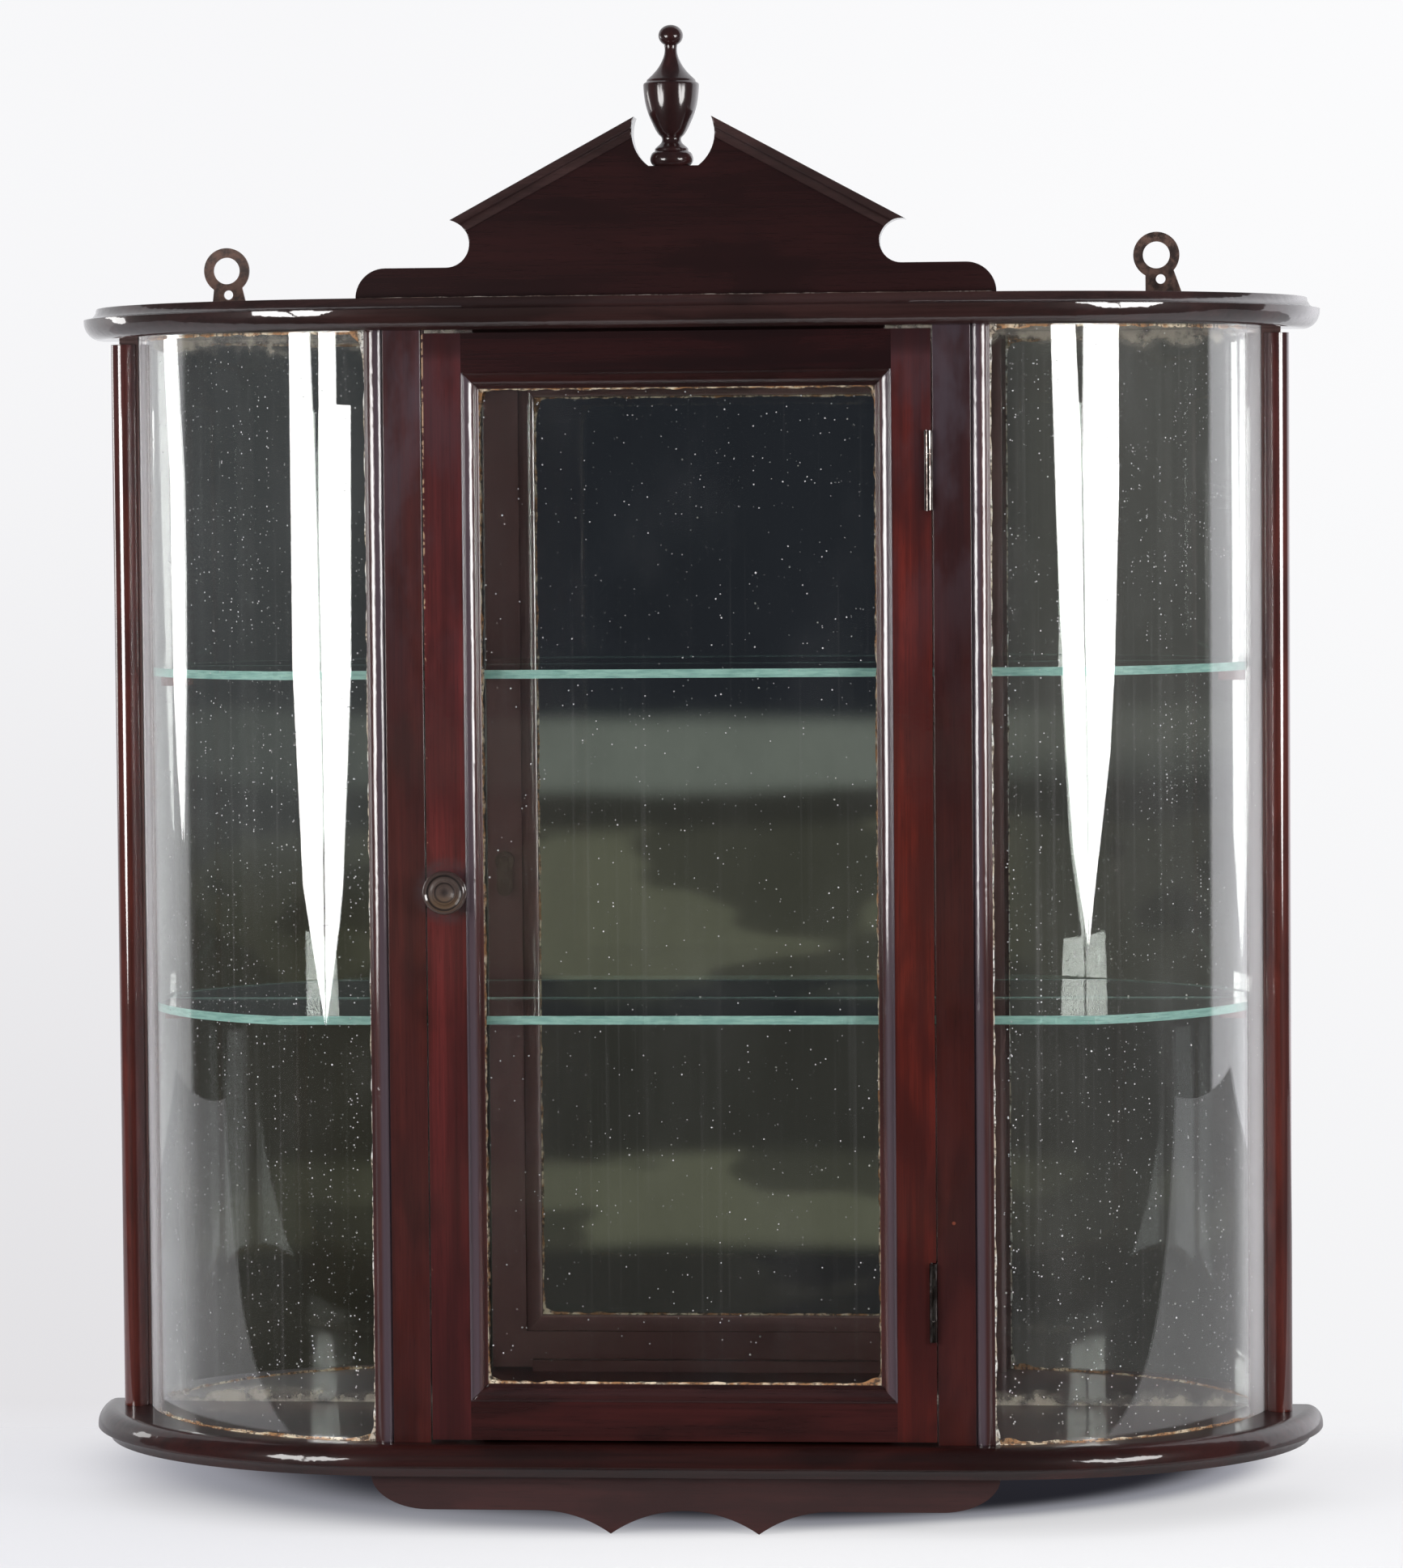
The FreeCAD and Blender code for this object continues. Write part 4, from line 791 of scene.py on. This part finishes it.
def make_world():
    """A white backdrop behind the cabinet, a dim room in front of it, and soft light from overhead."""
    world = bpy.data.worlds.new("studio")
    bpy.context.scene.world = world
    world.use_nodes = True
    tree = world.node_tree
    tree.nodes.clear()
    output = add_node(tree, "ShaderNodeOutputWorld")
    towards = add_node(tree, "ShaderNodeTexCoord").outputs["Generated"]
    parts = add_node(tree, "ShaderNodeSeparateXYZ", Vector=towards)
    x, y, z = parts.outputs
    path = add_node(tree, "ShaderNodeLightPath")
    side = ramp(tree, math_node(tree, "ABSOLUTE", x), 0.0, 1.0, 0.25, 0.90)
    room = mix_colour(tree, side, room_in_front(tree, towards, x, z), rgb(0.10, 0.10, 0.105))
    ceiling = ramp(tree, z, 0.0, 0.90, 0.30, 0.60)
    front_light = mix_colour(tree, ceiling, grey(0.16), grey(1.40))
    backdrop = ramp(tree, y, 0.0, 1.0, 0.25, 0.29)
    behind = ramp(tree, y, 0.0, 1.0, -0.10, 0.20)
    dim_ceiling = mix_colour(tree, ceiling, room, rgb(0.10, 0.10, 0.11))
    to_the_right = ramp(tree, x, 0.0, 1.0, 0.10, 0.60)
    bright = math_node(tree, "MULTIPLY", to_the_right, path.outputs["Is Glossy Ray"])
    white = mix_colour(tree, bright, rgb(0.97, 0.97, 1.0), rgb(2.2, 2.2, 2.3))
    seen = mix_colour(tree, backdrop, dim_ceiling, white)
    lit = mix_colour(tree, behind, front_light, rgb(0.30, 0.30, 0.34))
    colour = mix_colour(tree, path.outputs["Is Diffuse Ray"], seen, lit)
    rise = ramp(tree, z, 0.0, 1.0, -0.19, 0.07)
    left_paper = mix_colour(tree, rise, rgb(0.76, 0.75, 0.77), rgb(0.935, 0.935, 0.95))
    right_paper = mix_colour(tree, rise, rgb(0.90, 0.90, 0.915), rgb(0.965, 0.965, 0.975))
    paper = mix_colour(tree, ramp(tree, x, 0.0, 1.0, -0.20, 0.04), left_paper, right_paper)
    colour = mix_colour(tree, path.outputs["Is Camera Ray"], colour, paper)
    light = add_node(tree, "ShaderNodeBackground", Color=colour, Strength=1.0)
    tree.links.new(light.outputs[0], output.inputs["Surface"])


def make_lamp(name, bearing, panels, strength=LAMP_STRENGTH):
    """A tall soft lamp whose cloth panels narrow to a point low down, facing the cabinet."""
    angle = math.radians(bearing)
    centre = Vector((math.sin(angle), -math.cos(angle), 0.0)) * LAMP_DISTANCE
    across = Vector((math.cos(angle), math.sin(angle), 0.0)) * LAMP_WIDTH / 2
    verts = []
    faces = []
    for panel in panels:
        faces.append(tuple(range(len(verts), len(verts) + len(panel))))
        verts.extend(centre + across * share + Vector((0, 0, z)) for share, z in panel)
    mesh = bpy.data.meshes.new(name)
    mesh.from_pydata(verts, [], faces)
    lamp = bpy.data.objects.new(name, mesh)
    bpy.context.scene.collection.objects.link(lamp)
    material, tree, output = new_material(name)
    mirrored = add_node(tree, "ShaderNodeLightPath").outputs["Is Glossy Ray"]
    glow = add_node(tree, "ShaderNodeEmission", Color=rgb(1.0, 0.99, 0.98),
                    Strength=ramp(tree, mirrored, strength, strength * LAMP_SPARKLE))
    show(tree, output, glow.outputs[0])
    mesh.materials.append(material)
    lamp.visible_camera = False
    lamp.visible_shadow = False


def make_camera():
    yaw, pitch, roll = CAMERA_YAW, CAMERA_PITCH, CAMERA_ROLL
    forward = Vector((math.sin(yaw) * math.cos(pitch), math.cos(yaw) * math.cos(pitch),
                      -math.sin(pitch)))
    level = Vector((math.cos(yaw), -math.sin(yaw), 0.0))
    down = forward.cross(level)
    right = level * math.cos(roll) + down * math.sin(roll)
    up = level * math.sin(roll) - down * math.cos(roll)
    turn = Matrix((right, up, -forward)).transposed()
    data = bpy.data.cameras.new("camera")
    data.sensor_width = SENSOR
    data.lens = FOCAL_PIXELS / PHOTO_HEIGHT * SENSOR
    data.clip_start = 0.1
    data.clip_end = 50.0
    camera = bpy.data.objects.new("camera", data)
    camera.matrix_world = Matrix.Translation(CAMERA_PLACE) @ turn.to_4x4()
    bpy.context.scene.collection.objects.link(camera)
    bpy.context.scene.camera = camera


# Materials of the CAD nodes

def dress(material, *names):
    for name in names:
        for slot in nodes[name].material_slots:
            slot.material = material


def dress_wood():
    post = mahogany("post_mahogany", ALONG_Z, rgb(0.024, 0.0037, 0.0028), rgb(0.068, 0.0110, 0.0080),
                    painted_sheen=0.45, marks=closing_post_marks)
    right_post = mahogany("right_post_mahogany", ALONG_Z, rgb(0.022, 0.0034, 0.0026),
                          rgb(0.048, 0.0078, 0.0056), painted_sheen=0.50, marks=small_nicks)
    stile = mahogany("stile_mahogany", ALONG_Z, rgb(0.040, 0.0058, 0.0052), rgb(0.136, 0.0175, 0.0165),
                     painted_sheen=0.34, marks=closing_stile_marks_and_shade, eased=0.0)
    red_stile = mahogany("hinge_stile_mahogany", ALONG_Z, rgb(0.046, 0.0058, 0.0040),
                         rgb(0.172, 0.0180, 0.0090), painted_sheen=0.38, marks=hinge_stile_marks_and_shade, eased=0.0)
    rail = mahogany("rail_mahogany", ALONG_X, rgb(0.015, 0.0034, 0.0034), rgb(0.045, 0.0086, 0.0080),
                    marks=small_nicks, eased=0.0)
    top_rail = mahogany("top_rail_mahogany", ALONG_X, rgb(0.010, 0.0028, 0.0032),
                        rgb(0.028, 0.0058, 0.0062), eased=0.0)
    # The upright mouldings and beads get a painted grey sheen along their edges
    upright_moulding = mahogany("upright_moulding_mahogany", ALONG_Z, rgb(0.032, 0.0090, 0.0085),
                                rgb(0.085, 0.0260, 0.0240), painted_sheen=0.2, marks=painted_edge_sheen,
                                softness=0.06, eased=0.0014)
    level_moulding = mahogany("level_moulding_mahogany", ALONG_X, rgb(0.012, 0.0035, 0.0035),
                              rgb(0.032, 0.0080, 0.0075), softness=0.07, eased=0.0012)
    board = mahogany("board_mahogany", ALONG_X, rgb(0.009, 0.0022, 0.0020), rgb(0.028, 0.0052, 0.0042),
                     marks=small_nicks, polish=0.42, softness=0.05)
    # Painted sheen: the top board is paler than the base board, standing in for its soft highlights
    upper_board = mahogany("painted_sheen_top_board_mahogany", ALONG_X, rgb(0.015, 0.0068, 0.0064),
                           rgb(0.040, 0.0160, 0.0150), marks=small_nicks, polish=0.85)
    gable = mahogany("gable_mahogany", ALONG_X, rgb(0.013, 0.0042, 0.0044), rgb(0.027, 0.0072, 0.0072),
                     marks=small_nicks)
    raking = mahogany("raking_mahogany", ALONG_X, rgb(0.024, 0.0120, 0.0120),
                      rgb(0.060, 0.0300, 0.0290), softness=0.08, eased=0.0010)
    skirt = mahogany("apron_mahogany", ALONG_X, rgb(0.020, 0.0050, 0.0047), rgb(0.040, 0.0105, 0.0095),
                     marks=small_nicks, polish=0.28, softness=0.12)
    end_post = mahogany("end_post_mahogany", ALONG_Z, rgb(0.036, 0.0065, 0.0050),
                        rgb(0.110, 0.0190, 0.0130), painted_sheen=0.1)
    turned = mahogany("finial_mahogany", ALONG_Z, rgb(0.014, 0.0055, 0.0060),
                      rgb(0.046, 0.0125, 0.0120), polish=0.60, softness=0.13)
    # Painted light: the wood inside the cabinet is given far paler mahogany, standing in for light in
    # its shade
    inner = mahogany("painted_light_inner_mahogany", ALONG_Z, rgb(0.105, 0.0600, 0.0560), rgb(0.210, 0.1200, 0.1130))
    dress(post, "left_front_post")
    dress(right_post, "right_front_post")
    dress(stile, "door_left_stile")
    dress(red_stile, "door_right_stile")
    dress(rail, "door_bottom_rail")
    dress(top_rail, "door_top_rail")
    dress(upright_moulding, "door_left_moulding", "door_right_moulding",
          "left_post_bead", "right_post_bead")
    dress(level_moulding, "door_bottom_moulding", "door_top_moulding")
    dress(board, "base_board", "top_door_stop", "bottom_door_stop")
    dress(upper_board, "top_board")
    dress(gable, "pediment_board")
    dress(raking, "left_raking_moulding", "right_raking_moulding")
    dress(skirt, "apron")
    dress(end_post, "left_half_round", "right_half_round")
    dress(turned, "finial")
    dress(inner, "left_back_post", "right_back_post", "back_shelf_rests", "front_shelf_rests",
          "door_left_glazing_bead", "door_right_glazing_bead", "door_top_glazing_bead",
          "door_bottom_glazing_bead")
    dress(knob_wood("knob_mahogany"), "knob")
    dress(plain_wood("back_wood_plain"), "back_panel", "apron_glue_blocks", "pediment_glue_blocks")


def dress_metal():
    dress(hinge_metal("browned_brass", rgb(0.030, 0.023, 0.021), rgb(0.18, 0.16, 0.15)),
          "upper_hinge_door_leaf", "upper_hinge_post_leaf", "lower_hinge_door_leaf",
          "lower_hinge_post_leaf", "hinge_pins", "hinge_door_screws", "hinge_post_screws")
    dress(hinge_metal("dark_brass", rgb(0.070, 0.040, 0.034), rgb(0.120, 0.080, 0.062), metallic=0.3),
          "keeper_plate", "keeper_screws", "turn_catch", "knob_spindle")
    dress(hanger_metal("rusted_iron"), "left_hanger", "right_hanger")
    dress(screw_metal("dull_steel"), "hanger_screws", "top_board_screws", "base_board_screws",
          "back_panel_pins")


def dress_glass():
    dress(pane_glass("bent_pane_glass", film=0.018, density=1.0), "left_bent_glass", "right_bent_glass")
    dress(pane_glass("door_pane_glass", film=0.010, density=1.2), "door_glass")
    dress(shelf_glass("green_edged_glass"), "lower_glass_shelf", "upper_glass_shelf")
    dress(old_mirror("foxed_mirror"), "back_mirror")


bpy.context.scene.view_settings.view_transform = "Standard"
make_camera()
make_world()
make_floor()
make_lamp("left_lamp", LEFT_LAMP_BEARING, LEFT_LAMP_PANELS)
make_lamp("right_lamp", RIGHT_LAMP_BEARING, RIGHT_LAMP_PANELS)
make_lamp("side_lamp", SIDE_LAMP_BEARING, SIDE_LAMP_PANELS, SIDE_LAMP_STRENGTH)
dress_wood()
dress_metal()
dress_glass()
old_putty = putty("old_putty", rgb(0.62, 0.53, 0.40), rgb(0.30, 0.15, 0.065))
make_pane_putty(old_putty, putty("pale_putty", rgb(0.82, 0.81, 0.77), rgb(0.55, 0.47, 0.37)))
make_door_putty(old_putty)
make_dust_line(putty("grey_dust", rgb(0.34, 0.30, 0.27), rgb(0.16, 0.11, 0.09)))
